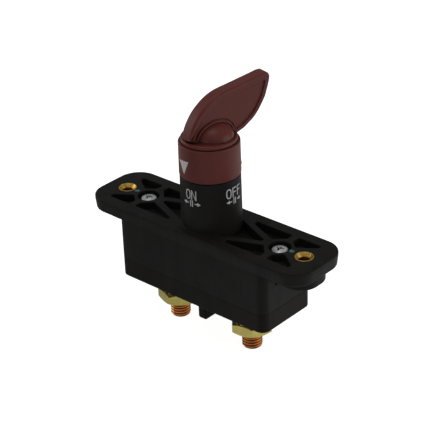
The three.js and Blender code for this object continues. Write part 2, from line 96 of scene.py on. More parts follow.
COLLAR_R0, COLLAR_R1, COLLAR_BORE, COLLAR_BOTTOM, COLLAR_TOP = 14.7, 14.6, 12.3, 26.35, 42.8
WEB_BOTTOM, WEB_TOP = 33.5, 36.0
PLUG_R, PLUG_BOTTOM, LIP2_R, LIP2_BOTTOM, LIP2_TOP = 11.9, 36.3, 13.5, 43.2, 44.9
PADDLE_T, PADDLE_SINK = 7.2, 0.75
PADDLE_FRONT = [(-13.07, 46.44), (-12.55, 48.72), (-11.56, 51.35), (-9.77, 54.51), (-7.01, 58.08), (-4.13, 60.56), (-1.32, 62.58), (1.94, 64.21), (5.75, 65.39), (10.85, 66.11)]
PADDLE_LINE = [(15.87, 66.74), (20.87, 67.41), (25.85, 68.07)]
PADDLE_TIP = [(30.3, 68.66), (32.3, 68.42), (33.35, 67.0), (33.42, 65.66)]
PADDLE_BACK = [(32.89, 63.25), (31.85, 60.27), (30.71, 57.15), (28.83, 54.03), (26.19, 50.46), (23.42, 47.74), (20.63, 45.95), (17.87, 44.28), (14.39, 42.97)]

rad = math.radians


# ---------------------------------------------------------------- shape helpers
def unit(v):
    v = np.asarray(v, float)
    return v / max(np.linalg.norm(v), 1e-12)


def offset_poly(pts, d):
    """The polygon, counter-clockwise, with each edge moved outwards by d."""
    pts = [np.asarray(p, float) for p in pts]
    out = []
    for i in range(len(pts)):
        a, b, c = pts[i - 1], pts[i], pts[(i + 1) % len(pts)]
        e1, e2 = unit(b - a), unit(c - b)
        n1, n2 = np.array((e1[1], -e1[0])), np.array((e2[1], -e2[0]))
        out.append(b + (n1 + n2) * d / (1 + n1 @ n2))
    return out


def round_poly(pts, r, d=0.0, n=6):
    """The polygon moved outwards by d, with corners rounded by r at d = 0. It has n + 1 points a corner whatever d is."""
    if area(pts) < 0:
        pts = pts[::-1]
    radii = r if isinstance(r, (list, tuple)) else [r] * len(pts)
    q = offset_poly(pts, d)
    out = []
    for i in range(len(q)):
        a, b, c = q[i - 1], q[i], q[(i + 1) % len(q)]
        e1, e2 = unit(b - a), unit(c - b)
        turn = math.atan2(e1[0] * e2[1] - e1[1] * e2[0], e1 @ e2)
        rr = max(radii[i] + (d if turn > 0 else -d), 0.05)
        t = min(rr * math.tan(abs(turn) / 2), 0.45 * min(np.linalg.norm(b - a), np.linalg.norm(c - b)))
        rr = t / max(math.tan(abs(turn) / 2), 1e-9)
        side = 1 if turn > 0 else -1
        left = np.array((-e1[1], e1[0])) * side
        centre = b - e1 * t + left * rr
        start = -left
        for k in range(n + 1):
            w = turn * k / n
            out.append(centre + rr * np.array((start[0] * math.cos(w) - start[1] * math.sin(w), start[0] * math.sin(w) + start[1] * math.cos(w))))
    return np.array(out)


def area(pts):
    return 0.5 * sum(pts[i - 1][0] * pts[i][1] - pts[i][0] * pts[i - 1][1] for i in range(len(pts)))


def rrect(x, y, r, n=10):
    return np.array([(cx + r * math.cos(rad(a + 90 * k / n)), cy + r * math.sin(rad(a + 90 * k / n)))
                     for cx, cy, a in ((x - r, y - r, 0), (-x + r, y - r, 90), (-x + r, -y + r, 180), (x - r, -y + r, 270)) for k in range(n + 1)])


def at(ring, z):
    ring = np.asarray(ring, float)
    return np.column_stack((ring[:, :2], np.full(len(ring), z)))


def loft(rings):
    """A closed solid through rings of the same number of points, each counter-clockwise seen from the last one's side."""
    m = len(rings[0])
    verts = np.concatenate([np.asarray(r, float) for r in rings])
    faces = [[j * m + i, j * m + (i + 1) % m, (j + 1) * m + (i + 1) % m, (j + 1) * m + i] for j in range(len(rings) - 1) for i in range(m)]
    last = (len(rings) - 1) * m
    faces.append(list(range(m))[::-1])
    faces.append([last + i for i in range(m)])
    return verts, faces


def fillet_steps(r, n=5, stop=90.0):
    return [(r * (1 - math.cos(rad(stop * k / n))), r * math.sin(rad(stop * k / n))) for k in range(n + 1)]


def slab(outline, z0, z1, top=0.0, bottom=0.0, n=5):
    """outline(d) gives the outline moved outwards by d. The top and bottom edges are rounded."""
    rings = []
    if bottom:
        for inset, rise in fillet_steps(bottom, n)[::-1]:
            rings.append(at(outline(-inset), z0 + bottom - rise))
    else:
        rings.append(at(outline(0), z0))
    if top:
        for inset, rise in fillet_steps(top, n):
            rings.append(at(outline(-inset), z1 - top + rise))
    else:
        rings.append(at(outline(0), z1))
    return loft(rings)


def lathe(profile, n=96, x=0.0, y=0.0, closed=False, phase=0.0):
    """profile is (radius, z) from the bottom to the top, on the axis at both ends, or closed on itself."""
    verts, rows = [], []
    for r, z in profile:
        if r < 1e-6:
            rows.append([len(verts)])
            verts.append((x, y, z))
        else:
            rows.append(list(range(len(verts), len(verts) + n)))
            for k in range(n):
                a = 2 * math.pi * (k + phase) / n
                verts.append((x + r * math.cos(a), y + r * math.sin(a), z))
    faces = []
    pairs = list(zip(rows, rows[1:])) + ([(rows[-1], rows[0])] if closed else [])
    for a, b in pairs:
        for k in range(n):
            i, j = k, (k + 1) % n
            if len(a) == 1 and len(b) == 1:
                break
            if len(a) == 1:
                faces.append([a[0], b[j], b[i]])
            elif len(b) == 1:
                faces.append([a[i], a[j], b[0]])
            else:
                faces.append([a[i], a[j], b[j], b[i]])
    return np.array(verts), faces


def disc(r, z0, z1, n=64, x=0.0, y=0.0, top=0.0, bottom=0.0, steps=4):
    profile = [(0, z0)]
    profile += [(r - i, z0 + bottom - s) for i, s in fillet_steps(bottom, steps)[::-1]] if bottom else [(r, z0)]
    profile += [(r - i, z1 - top + s) for i, s in fillet_steps(top, steps)] if top else [(r, z1)]
    return lathe(profile + [(0, z1)], n, x, y)


def rounded_ring(r0, r1, z0, z1, r=0.2, n=96, x=0.0, steps=3):
    corners = [(r1 - r, z0 + r, -90), (r1 - r, z1 - r, 0), (r0 + r, z1 - r, 90), (r0 + r, z0 + r, 180)]
    profile = [(cx + r * math.cos(rad(a + 90 * k / steps)), cz + r * math.sin(rad(a + 90 * k / steps))) for cx, cz, a in corners for k in range(steps + 1)]
    return lathe(profile, n, x, closed=True)


def box(x0, x1, y0, y1, z0, z1):
    v = np.array([(x, y, z) for z in (z0, z1) for x, y in ((x0, y0), (x1, y0), (x1, y1), (x0, y1))])
    return v, [[3, 2, 1, 0], [4, 5, 6, 7], [0, 1, 5, 4], [1, 2, 6, 5], [2, 3, 7, 6], [3, 0, 4, 7]]


def turned(shape, degrees, axis="Z", move=(0, 0, 0)):
    v, f = shape
    m = np.array(Matrix.Rotation(rad(degrees), 3, axis))
    return np.asarray(v) @ m.T + np.array(move, float), f


def moved(shape, dx=0.0, dy=0.0, dz=0.0):
    return np.asarray(shape[0]) + np.array((dx, dy, dz)), shape[1]


def mirrored(shape, sx=1, sy=1):
    v = np.asarray(shape[0]) * np.array((sx, sy, 1))
    return (v, [f[::-1] for f in shape[1]]) if sx * sy < 0 else (v, shape[1])


def many(shapes):
    verts, faces, n = [], [], 0
    for v, f in shapes:
        verts.append(np.asarray(v, float))
        faces += [[i + n for i in face] for face in f]
        n += len(v)
    return np.concatenate(verts), faces


def tube(path, r, n=10, closed=False):
    """A round bar along path, closed at its ends."""
    path = [Vector(p) for p in path]
    rings, normal = [], None
    for i, p in enumerate(path):
        t = (path[min(i + 1, len(path) - 1)] - path[max(i - 1, 0)]).normalized()
        if normal is None:
            normal = t.orthogonal().normalized()
        normal = (normal - t * normal.dot(t)).normalized()
        other = t.cross(normal)
        rings.append(np.array([p + (normal * math.cos(2 * math.pi * k / n) + other * math.sin(2 * math.pi * k / n)) * r for k in range(n)]))
    return loft(rings)


def thread(major, minor, pitch, z0, z1, n=64, x=0.0, hand=1):
    """A threaded rod, longer than z0 to z1, to be trimmed to length."""
    t = [0.0, 0.05, 0.13, 0.22, 0.31, 0.40, 0.46, 0.56, 0.67, 0.73, 0.82, 0.91]
    h = [1.0, 1.0, 0.97, 0.72, 0.44, 0.17, 0.03, 0.0, 0.03, 0.17, 0.44, 0.75]
    m = len(t)
    turns = int(math.ceil((z1 - z0) / pitch)) + 2
    rows = turns * m
    start = z0 - pitch
    verts = []
    for i in range(rows + 1):
        for j in range(n):
            a = 2 * math.pi * j / n
            r = minor + (major - minor) * h[i % m]
            verts.append((x + r * math.cos(a), hand * r * math.sin(a), start + pitch * (i // m + t[i % m] + j / n)))
    v = lambda i, j: i * n + j
    faces = [[v(i, j), v(i, j + 1), v(i + 1, j + 1), v(i + 1, j)] for i in range(rows) for j in range(n - 1)]
    faces += [[v(i, n - 1), v(i + m, 0), v(i + m + 1, 0), v(i + 1, n - 1)] for i in range(rows - m)]
    low = [v(0, j) for j in range(n)] + [v(i, 0) for i in range(m, 0, -1)]
    high = [v(rows, j) for j in range(n)] + [v(i, n - 1) for i in range(rows - 1, rows - m - 1, -1)]
    verts.append((x, 0, start - pitch))
    verts.append((x, 0, start + pitch * (turns + 2)))
    for loop, centre, flip in ((low, len(verts) - 2, True), (high, len(verts) - 1, False)):
        for a, b in zip(loop, loop[1:] + loop[:1]):
            faces.append([b, a, centre] if flip else [a, b, centre])
    if hand < 0:
        faces = [f[::-1] for f in faces]
    return np.array(verts), faces


# ---------------------------------------------------------------- meshes and booleans
def mesh_of(name, shape):
    v, f = shape
    me = bpy.data.meshes.new(name)
    me.from_pydata([tuple(float(c) * S for c in p) for p in v], [], [list(map(int, face)) for face in f])
    bm = bmesh.new()
    bm.from_mesh(me)
    bmesh.ops.remove_doubles(bm, verts=bm.verts, dist=1e-9)
    bmesh.ops.recalc_face_normals(bm, faces=bm.faces)
    bm.to_mesh(me)
    bm.free()
    me.update()
    return me


def temp(shape, name="tool"):
    o = bpy.data.objects.new(name, mesh_of(name, shape))
    SCENE.collection.objects.link(o)
    return o


SOLVERS = [e.identifier for e in bpy.types.BooleanModifier.bl_rna.properties["solver"].enum_items]
SOLVER = "MANIFOLD" if "MANIFOLD" in SOLVERS else "EXACT"


def combine(base, steps, solver=None):
    """base and then each (operation, shape) in turn; gives a mesh in metres."""
    o = temp(base, "base")
    tools = []
    for op, shape in steps:
        t = temp(shape)
        tools.append(t)
        m = o.modifiers.new("b", "BOOLEAN")
        m.operation = {"+": "UNION", "-": "DIFFERENCE", "&": "INTERSECT"}[op]
        m.object = t
        m.solver = solver or SOLVER
    bpy.context.view_layer.update()
    me = bpy.data.meshes.new_from_object(o.evaluated_get(bpy.context.evaluated_depsgraph_get()))
    for x in [o] + tools:
        data = x.data
        bpy.data.objects.remove(x)
        bpy.data.meshes.remove(data)
    bm = bmesh.new()
    bm.from_mesh(me)
    bmesh.ops.remove_doubles(bm, verts=bm.verts, dist=2e-6)
    bmesh.ops.dissolve_degenerate(bm, edges=bm.edges, dist=1e-6)
    bm.to_mesh(me)
    bm.free()
    return me


def shape_of(me):
    """A mesh in metres back as a shape in millimetres."""
    return np.array([v.co for v in me.vertices], float) / S, [list(p.vertices) for p in me.polygons]


PIECES = []


def piece(name, source, body, material, replaces=(), sharp=32.0, weighted=True):
    """Puts a finished piece in the scene: smooth where it is round, flat where it is flat."""
    me = source if isinstance(source, bpy.types.Mesh) else mesh_of(name, source)
    me.name = name
    for p in me.polygons:
        p.use_smooth = True
    me.set_sharp_from_angle(angle=rad(sharp))
    o = bpy.data.objects.new(name, me)
    SCENE.collection.objects.link(o)
    if weighted:
        w = o.modifiers.new("normals", "WEIGHTED_NORMAL")
        w.mode = "FACE_AREA"
        w.weight = 50
        w.keep_sharp = True
        bpy.context.view_layer.update()
        done = bpy.data.meshes.new_from_object(o.evaluated_get(bpy.context.evaluated_depsgraph_get()))
        o.modifiers.clear()
        o.data = done
        bpy.data.meshes.remove(me)
        done.name = name
    o.data.materials.clear()
    o.data.materials.append(material)
    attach(o, body)
    if replaces:
        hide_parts(*([replaces] if isinstance(replaces, str) else replaces))
    PIECES.append(o)
    return o


# ---------------------------------------------------------------- materials
def new_material(name):
    m = bpy.data.materials.new(name)
    m.use_nodes = True
    t = m.node_tree
    for n in list(t.nodes):
        t.nodes.remove(n)
    out = t.nodes.new("ShaderNodeOutputMaterial")
    bsdf = t.nodes.new("ShaderNodeBsdfPrincipled")
    t.links.new(bsdf.outputs[0], out.inputs["Surface"])
    return m, t, bsdf


def lin(c):
    """An sRGB colour in 0..255 as linear RGBA."""
    f = lambda v: v / 12.92 if v <= 0.04045 else ((v + 0.055) / 1.055) ** 2.4
    return tuple(f(v / 255) for v in c) + (1.0,)


class Graph:
    """Short names for the nodes that the finishes below are made of."""

    def __init__(self, tree):
        self.t = tree
        c = tree.nodes.new("ShaderNodeTexCoord")
        self.where = c.outputs["Object"]

    def put(self, socket, value):
        if isinstance(value, bpy.types.NodeSocket):
            self.t.links.new(value, socket)
        elif value is not None:
            socket.default_value = value

    def scaled(self, scale, rotate=(0, 0, 0)):
        n = self.t.nodes.new("ShaderNodeMapping")
        self.put(n.inputs["Vector"], self.where)
        n.inputs["Scale"].default_value = scale
        n.inputs["Rotation"].default_value = rotate
        return n.outputs[0]

    def noise(self, scale, detail=4.0, rough=0.55, vector=None, distortion=0.0):
        n = self.t.nodes.new("ShaderNodeTexNoise")
        self.put(n.inputs["Vector"], self.where if vector is None else vector)
        n.inputs["Scale"].default_value = scale
        n.inputs["Detail"].default_value = detail
        n.inputs["Roughness"].default_value = rough
        n.inputs["Distortion"].default_value = distortion
        return n.outputs["Fac"]

    def voronoi(self, scale, feature="F1"):
        n = self.t.nodes.new("ShaderNodeTexVoronoi")
        n.feature = feature
        self.put(n.inputs["Vector"], self.where)
        n.inputs["Scale"].default_value = scale
        return n.outputs["Distance"]

    def remap(self, value, a, b, c, d):
        n = self.t.nodes.new("ShaderNodeMapRange")
        self.put(n.inputs["Value"], value)
        for k, v in zip(("From Min", "From Max", "To Min", "To Max"), (a, b, c, d)):
            n.inputs[k].default_value = v
        return n.outputs["Result"]

    def math(self, op, a, b=None):
        n = self.t.nodes.new("ShaderNodeMath")
        n.operation = op
        self.put(n.inputs[0], a)
        if b is not None:
            self.put(n.inputs[1], b)
        return n.outputs[0]

    def mix(self, factor, a, b):
        n = self.t.nodes.new("ShaderNodeMix")
        n.data_type = "RGBA"
        self.put(n.inputs[0], factor)
        self.put(n.inputs[6], a)
        self.put(n.inputs[7], b)
        return n.outputs[2]

    def edge(self, radius):
        """1 on edges, where wear and painted highlights go, 0 elsewhere: how far the rounded normal leans from the true
        one.
        """
        b = self.t.nodes.new("ShaderNodeBevel")
        b.samples = 6
        b.inputs["Radius"].default_value = radius
        g = self.t.nodes.new("ShaderNodeNewGeometry")
        d = self.t.nodes.new("ShaderNodeVectorMath")
        d.operation = "DOT_PRODUCT"
        self.put(d.inputs[0], b.outputs[0])
        self.put(d.inputs[1], g.outputs["Normal"])
        return self.remap(d.outputs["Value"], 0.985, 0.80, 0.0, 1.0)

    def bump(self, height, distance, strength=1.0, normal=None):
        n = self.t.nodes.new("ShaderNodeBump")
        self.put(n.inputs["Height"], height)
        n.inputs["Distance"].default_value = distance
        n.inputs["Strength"].default_value = strength
        if normal is not None:
            self.put(n.inputs["Normal"], normal)
        return n.outputs[0]


def moulded(name, colour, wear_and_highlight_colour, rough=0.5, specular=0.5, flow=0.10, grain=0.000012, wear_and_highlight_amount=0.5, mottled=0.25, coat=0.0, crevice_shade=0.0):
    """Moulded plastic: cloudy pigment, fine spark texture, and edges lightened and made a little glossier, partly wear
    and partly a painted highlight; optionally painted shade in creases.
    """
    m, t, b = new_material(name)
    g = Graph(t)
    cloud = g.noise(70, 5, 0.6)
    streak = g.noise(160, 3, 0.5, g.scaled((1.0, 1.0, 0.22)), 0.6)
    speck = g.noise(2600, 2, 0.5)
    # wear and painted highlight on the edges, patchy along each edge
    wear_and_highlight_edge = g.math("MULTIPLY", g.edge(0.00045), g.remap(g.noise(420, 4, 0.7), 0.40, 0.65, 0.15, 1.0))
    dark = tuple(c * (1 - mottled) for c in colour[:3]) + (1,)
    light = tuple(min(1, c * (1 + mottled)) for c in colour[:3]) + (1,)
    base = g.mix(g.remap(cloud, 0.35, 0.65, 0, 1), dark, light)
    base = g.mix(g.remap(speck, 0.62, 0.78, 0, 0.35), base, light)
    if crevice_shade:
        # painted shade: the colour darkens where the ambient occlusion node finds other faces close by, in creases and
        # recesses such as the ring round the handle's dome
        crevice_shade_ao = t.nodes.new("ShaderNodeAmbientOcclusion")
        crevice_shade_ao.samples = 8
        crevice_shade_ao.inputs["Distance"].default_value = 0.0042
        base = g.mix(g.remap(crevice_shade_ao.outputs["AO"], 0.92, 0.42, 0.0, crevice_shade), base, tuple(c * 0.10 for c in colour[:3]) + (1,))
    # edges lightened towards the edge colour: partly wear, partly painted highlight
    base = g.mix(g.math("MULTIPLY", wear_and_highlight_edge, wear_and_highlight_amount), base, wear_and_highlight_colour)
    g.put(b.inputs["Base Color"], base)
    r = g.math("ADD", g.remap(streak, 0.3, 0.7, rough - flow / 2, rough + flow / 2), g.remap(speck, 0.4, 0.7, -0.03, 0.05))
    r = g.math("SUBTRACT", r, g.math("MULTIPLY", wear_and_highlight_edge, 0.10))
    g.put(b.inputs["Roughness"], r)
    b.inputs["Specular IOR Level"].default_value = specular
    b.inputs["Coat Weight"].default_value = coat
    b.inputs["Coat Roughness"].default_value = 0.25
    fine = g.bump(g.noise(5200, 3, 0.6), grain, 0.7)
    g.put(b.inputs["Normal"], g.bump(g.noise(230, 3, 0.5), grain * 3.5, 0.35, fine))
    return m


def metal(name, colour, tarnish, rough=0.25, spread=0.10, lay=None, lay_depth=0.000004, stain=0.4, edge=None, grain_scale=900, metallic=1.0, recess_shade=None, root_shade=None):
    """Metal: turned or plated, with tarnish in clouds and painted highlights on the edges. Painted shade can darken a
    recess below a given height, given as (height, lower height, colour), and the thread roots of the studs.
    """
    m, t, b = new_material(name)
    g = Graph(t)
    cloud = g.noise(210, 5, 0.65, distortion=0.4)
    fine = g.noise(1900, 3, 0.6)
    base = g.mix(g.remap(cloud, 0.40, 0.70, 0, stain), colour, tarnish)
    base = g.mix(g.remap(fine, 0.55, 0.75, 0, 0.25 * stain), base, tarnish)
    # painted highlight: edges lightened towards the edge colour
    if edge is not None:
        base = g.mix(g.math("MULTIPLY", g.edge(0.0003), 0.6), base, edge)
    # painted shade in a recess: below the given height the colour darkens
    if recess_shade is not None:
        split = t.nodes.new("ShaderNodeSeparateXYZ")
        g.put(split.inputs[0], g.where)
        base = g.mix(g.remap(split.outputs["Z"], recess_shade[0] * S, recess_shade[1] * S, 0, 1), base, recess_shade[2])
    # painted shade in the stud's thread roots: towards the root radius the colour darkens
    if root_shade is not None:
        split = t.nodes.new("ShaderNodeSeparateXYZ")
        g.put(split.inputs[0], g.where)
        dx = g.math("SUBTRACT", g.math("ABSOLUTE", split.outputs["X"]), STUD_X * S)
        reach = g.math("SQRT", g.math("ADD", g.math("MULTIPLY", dx, dx), g.math("MULTIPLY", split.outputs["Y"], split.outputs["Y"])))
        base = g.mix(g.remap(reach, (STUD_R - 0.85) * S, (STUD_R - 0.12) * S, 1, 0), base, root_shade)
    g.put(b.inputs["Base Color"], base)
    b.inputs["Metallic"].default_value = metallic
    g.put(b.inputs["Roughness"], g.math("ADD", g.remap(cloud, 0.3, 0.7, rough - spread / 2, rough + spread / 2), g.remap(fine, 0.3, 0.7, -0.02, 0.04)))
    if lay == "turned":
        marks = g.noise(1.0, 4, 0.6, g.scaled((60, 60, 5200)))
    elif lay == "brushed":
        marks = g.noise(1.0, 4, 0.6, g.scaled((200, 5200, 5200)))
    else:
        marks = g.noise(grain_scale, 4, 0.6)
    g.put(b.inputs["Normal"], g.bump(marks, lay_depth, 0.6))
    return m


def ink(name, colour, rough=0.55):
    """Pad-printed ink: a thin even film with a slightly broken surface."""
    m, t, b = new_material(name)
    g = Graph(t)
    n = g.noise(1500, 4, 0.6)
    dull = tuple(c * 0.88 for c in colour[:3]) + (1,)
    g.put(b.inputs["Base Color"], g.mix(g.remap(n, 0.35, 0.6, 1, 0), colour, dull))
    g.put(b.inputs["Roughness"], g.remap(n, 0.3, 0.7, rough - 0.08, rough + 0.08))
    g.put(b.inputs["Normal"], g.bump(g.noise(3800, 3, 0.5), 0.000006, 0.5))
    return m


# every moulding's edges lighten towards its edge colour: partly wear, partly painted highlight
PHENOLIC = moulded("phenolic_black", lin((32, 30, 29)), lin((62, 60, 60)), rough=0.50, specular=0.13, flow=0.12, grain=0.000014, wear_and_highlight_amount=0.45, mottled=0.22)
COVER_BLACK = moulded("phenolic_black_cover", lin((30, 28, 26)), lin((58, 56, 55)), rough=0.52, specular=0.11, flow=0.10, grain=0.000014, wear_and_highlight_amount=0.45, mottled=0.22)
# the handle and collar reds get painted shade in their creases
RED = moulded("handle_red", lin((118, 57, 50)), lin((172, 106, 92)), rough=0.33, specular=0.26, flow=0.10, grain=0.000006, wear_and_highlight_amount=0.6, crevice_shade=0.62, mottled=0.07)
RED_COLLAR = moulded("collar_red", lin((119, 58, 52)), lin((160, 98, 88)), rough=0.42, specular=0.24, flow=0.08, grain=0.000007, wear_and_highlight_amount=0.5, crevice_shade=0.4, mottled=0.07)
RUBBER = moulded("rubber_black", lin((16, 16, 17)), lin((40, 40, 41)), rough=0.75, specular=0.35, flow=0.1, grain=0.00002, wear_and_highlight_amount=0.2, mottled=0.2)
NYLON = moulded("nylon", lin((214, 207, 190)), lin((236, 232, 222)), rough=0.48, flow=0.08, grain=0.00001, wear_and_highlight_amount=0.3, mottled=0.05)
# metal edge colours are painted highlights; the insert bore, the screw recess and the stud thread roots get painted
# shade
GOLD_BRASS = metal("insert_brass", lin((236, 196, 96)), lin((168, 118, 44)), rough=0.30, lay="turned", stain=0.40, edge=lin((255, 232, 150)), recess_shade=(-1.2, -2.2, lin((96, 56, 16))))
YELLOW_BRASS = metal("yellow_brass", lin((214, 200, 112)), lin((150, 132, 62)), rough=0.30, lay="brushed", stain=0.35, edge=lin((255, 248, 190)), metallic=0.85)
WASHER_BRASS = metal("washer_brass", lin((212, 176, 92)), lin((120, 84, 38)), rough=0.28, lay="turned", stain=0.55, edge=lin((250, 220, 140)))
COPPER = metal("copper", lin((244, 158, 98)), lin((176, 92, 48)), rough=0.24, stain=0.35, edge=lin((255, 208, 150)), metallic=0.9)
STUD_COPPER = metal("stud_copper", lin((255, 178, 108)), lin((190, 100, 52)), rough=0.22, stain=0.25, edge=lin((255, 226, 170)), metallic=0.9, root_shade=lin((92, 34, 16)))
ZINC = metal("bright_zinc", lin((226, 228, 230)), lin((140, 143, 146)), rough=0.26, lay=None, stain=0.30, edge=lin((250, 250, 250)), metallic=0.4, recess_shade=(-1.15, -1.6, lin((34, 33, 30))))
STEEL = metal("steel", lin((176, 178, 182)), lin((104, 104, 106)), rough=0.30, lay="turned", stain=0.4, edge=lin((220, 222, 224)))
SILVER = metal("contact_silver", lin((222, 222, 218)), lin((150, 146, 138)), rough=0.30, lay=None, stain=0.4)
WHITE_INK = ink("white_ink", lin((252, 250, 253)))
POINTER_INK = ink("pointer_ink", lin((254, 248, 252)))
TEAL_PAINT = ink("teal_paint", lin((70, 128, 124)), 0.3)


# ---------------------------------------------------------------- housing
def housing_mesh():
    grown = lambda x, y, r, d, z: at(rrect(x + d, y + d, r + d, 14), z)
    rings = [grown(SKIRT_X, SKIRT_Y, SKIRT_R, -i, -FLANGE_T + 0.7 - s) for i, s in fillet_steps(0.7, 5)[::-1]]
    rings += [grown(LIP_X - 0.1, LIP_Y - 0.1, LIP_R - 0.1, 0, -LIP_T - 0.3), grown(LIP_X, LIP_Y, LIP_R, 0, -LIP_T + 0.4)]
    rings += [grown(LIP_X, LIP_Y, LIP_R, -i, -0.65 + s) for i, s in fillet_steps(0.65, 6)]
    lip = loft(rings)
    boss = slab(lambda d: rrect(BOSS_X + d, BOSS_Y + d, BOSS_R + d, 14), BOSS_BOTTOM, -FLANGE_T + 1.5, 0, 0.6, 5)
    body = slab(lambda d: rrect(BODY_X + d, BODY_Y + d, BODY_R + d, 10), SEAM_TOP, -1.0, 0, 0.12, 3)
    foot = 0.35
    tower = [(0, -3.5), (TOWER_R0 + foot, -3.5), (TOWER_R0 + foot, -0.02)]
    tower += [(TOWER_R0 + foot - i, r - 0.02) for i, r in [(foot * math.sin(rad(15 * k)), foot * (1 - math.cos(rad(15 * k)))) for k in range(1, 7)]]
    tower += [(TOWER_R1 - i, TOWER_TOP - 0.45 + s) for i, s in fillet_steps(0.45, 4)]
    tower += [(NECK_R, TOWER_TOP), (NECK_R, NECK_TOP - 0.4), (NECK_R - 0.4, NECK_TOP), (0, NECK_TOP)]
    steps = [("+", boss), ("+", body), ("+", lathe(tower, 160))]

    # pockets in the flange's top face
    end = [(43.2, 12.1), (56.4, 12.1), (56.4, 9.8), (48.3, 4.3), (47.1, 4.3), (43.2, 7.8)]
    side = [(17.7, 12.1), (39.5, 12.1), (39.5, 8.5), (34.7, 3.6), (33.6, 3.6), (17.7, 10.0)]
    centre = [(31.3, 0.8), (20.8, 5.0), (11.0, 9.2), (11.0, -9.2), (20.8, -5.0), (31.3, -0.8)]
    floor_r, edge_r, draft = 0.45, 0.32, 0.2

    def pocket(pts, radii):
        if area(pts) < 0:
            pts, radii = pts[::-1], radii[::-1]
        ring = lambda d, z: at(round_poly(pts, radii, d, 5), z)
        rings = [ring(-draft - floor_r * (1 - math.sin(rad(90 * k / 4))), POCKET_FLOOR + floor_r * (1 - math.cos(rad(90 * k / 4)))) for k in range(5)]
        rings += [ring(i, -edge_r + s) for i, s in fillet_steps(edge_r, 4, 78)]
        rings.append(ring(edge_r * (1 - math.cos(rad(78))), 1.5))
        return loft(rings)

    def keep(r, x, top=True, n=72):
        p = [(0, -6.0), (r + floor_r, -6.0), (r + floor_r, POCKET_FLOOR)]
        p += [(r + floor_r * (1 - math.sin(rad(90 * k / 4))), POCKET_FLOOR + floor_r * (1 - math.cos(rad(90 * k / 4)))) for k in range(1, 5)]
        if top:
            p += [(r - i, -edge_r + s) for i, s in fillet_steps(edge_r, 4, 78)]
            p += [(r - edge_r * (1 - math.cos(rad(78))), 2.5), (0, 2.5)]
        else:
            p += [(r, 2.5), (0, 2.5)]
        return lathe(p, n, x)

    cutters = []
    for sx in (1, -1):
        for sy in (1, -1):
            for pts, radii in ((end, [1.0, 0.8, 0.9, 0.6, 0.6, 1.0]), (side, [0.8, 0.8, 0.9, 0.6, 0.6, 0.7])):
                cutters.append(pocket([(sx * a, sy * b) for a, b in pts], radii))
        cutters.append(pocket([(sx * a, b) for a, b in centre], [0.7, 2.0, 0.3, 0.3, 2.0, 0.7]))
    keeps = many([keep(TOWER_R0, 0, False, 160)] + [keep(6.9, sx * SCREW_X) for sx in (1, -1)] + [keep(7.2, sx * INSERT_X) for sx in (1, -1)])
    steps.append(("-", shape_of(combine(many(cutters), [("-", keeps)]))))

    # cover screw counterbores and insert holes, each with a rounded rim
    def hole(r, z0, x, rim=0.3, n=72, floor=0.0):
        p = [(0, z0)] + ([(r - floor, z0), (r, z0 + floor)] if floor else [(r, z0)])
        p += [(r + i, -rim + s) for i, s in fillet_steps(rim, 4, 78)] + [(r + rim * (1 - math.cos(rad(78))), 1.5), (0, 1.5)]
        return lathe(p, n, x)

    holes = []
    for sx in (1, -1):
        holes.append(hole(SCREW_BORE_R, SCREW_SEAT, sx * SCREW_X, 0.32, floor=0.3))
        holes.append(hole(INSERT_R + 0.04, INSERT_BOTTOM - 0.1, sx * INSERT_X, 0.12))
    steps.append(("-", many(holes)))
    steps.append(("-", many([disc(SCREW_R + 0.3, -40, 1, 32, sx * SCREW_X) for sx in (1, -1)] + [disc(3.3, -14, -5, 40, sx * INSERT_X) for sx in (1, -1)])))

    # cavity, with the screw columns and the carrier's guides left standing in it
    cavity = slab(lambda d: rrect(BODY_X - WALL + d, BODY_Y - WALL + d, 2.2 + d, 6), -30, CEILING, 0.6, 0, 3)
    left = [disc(4.3, -31, CEILING + 1, 40, sx * SCREW_X) for sx in (1, -1)]
    left += [box(min(sx * 6.7, sx * 8.9), max(sx * 6.7, sx * 8.9), min(sy * 11.6, sy * 16.5), max(sy * 11.6, sy * 16.5), -27.0, CEILING + 1) for sx in (1, -1) for sy in (1, -1)]
    steps.append(("-", shape_of(combine(cavity, [("-", many(left))]))))
    bore = [(0, CEILING - 1), (TOWER_BORE, CEILING - 1), (TOWER_BORE, TOWER_ROOF), (SHAFT_R + 0.4, TOWER_ROOF), (SHAFT_R + 0.4, 28.0), (8.1, 28.0), (8.1, 30.2), (SHAFT_R + 0.4, 30.2), (SHAFT_R + 0.4, NECK_TOP + 1), (0, NECK_TOP + 1)]
    steps.append(("-", lathe(bore, 96)))
    pip = turned(disc(0.8, -1.5, 1.5, 32, bottom=0.4), 90, "Y", (BODY_X, -8.3, -14.4))
    steps.append(("-", pip))
    return combine(lip, steps)


piece("housing_moulding", housing_mesh(), "housing_body", PHENOLIC, "housing")


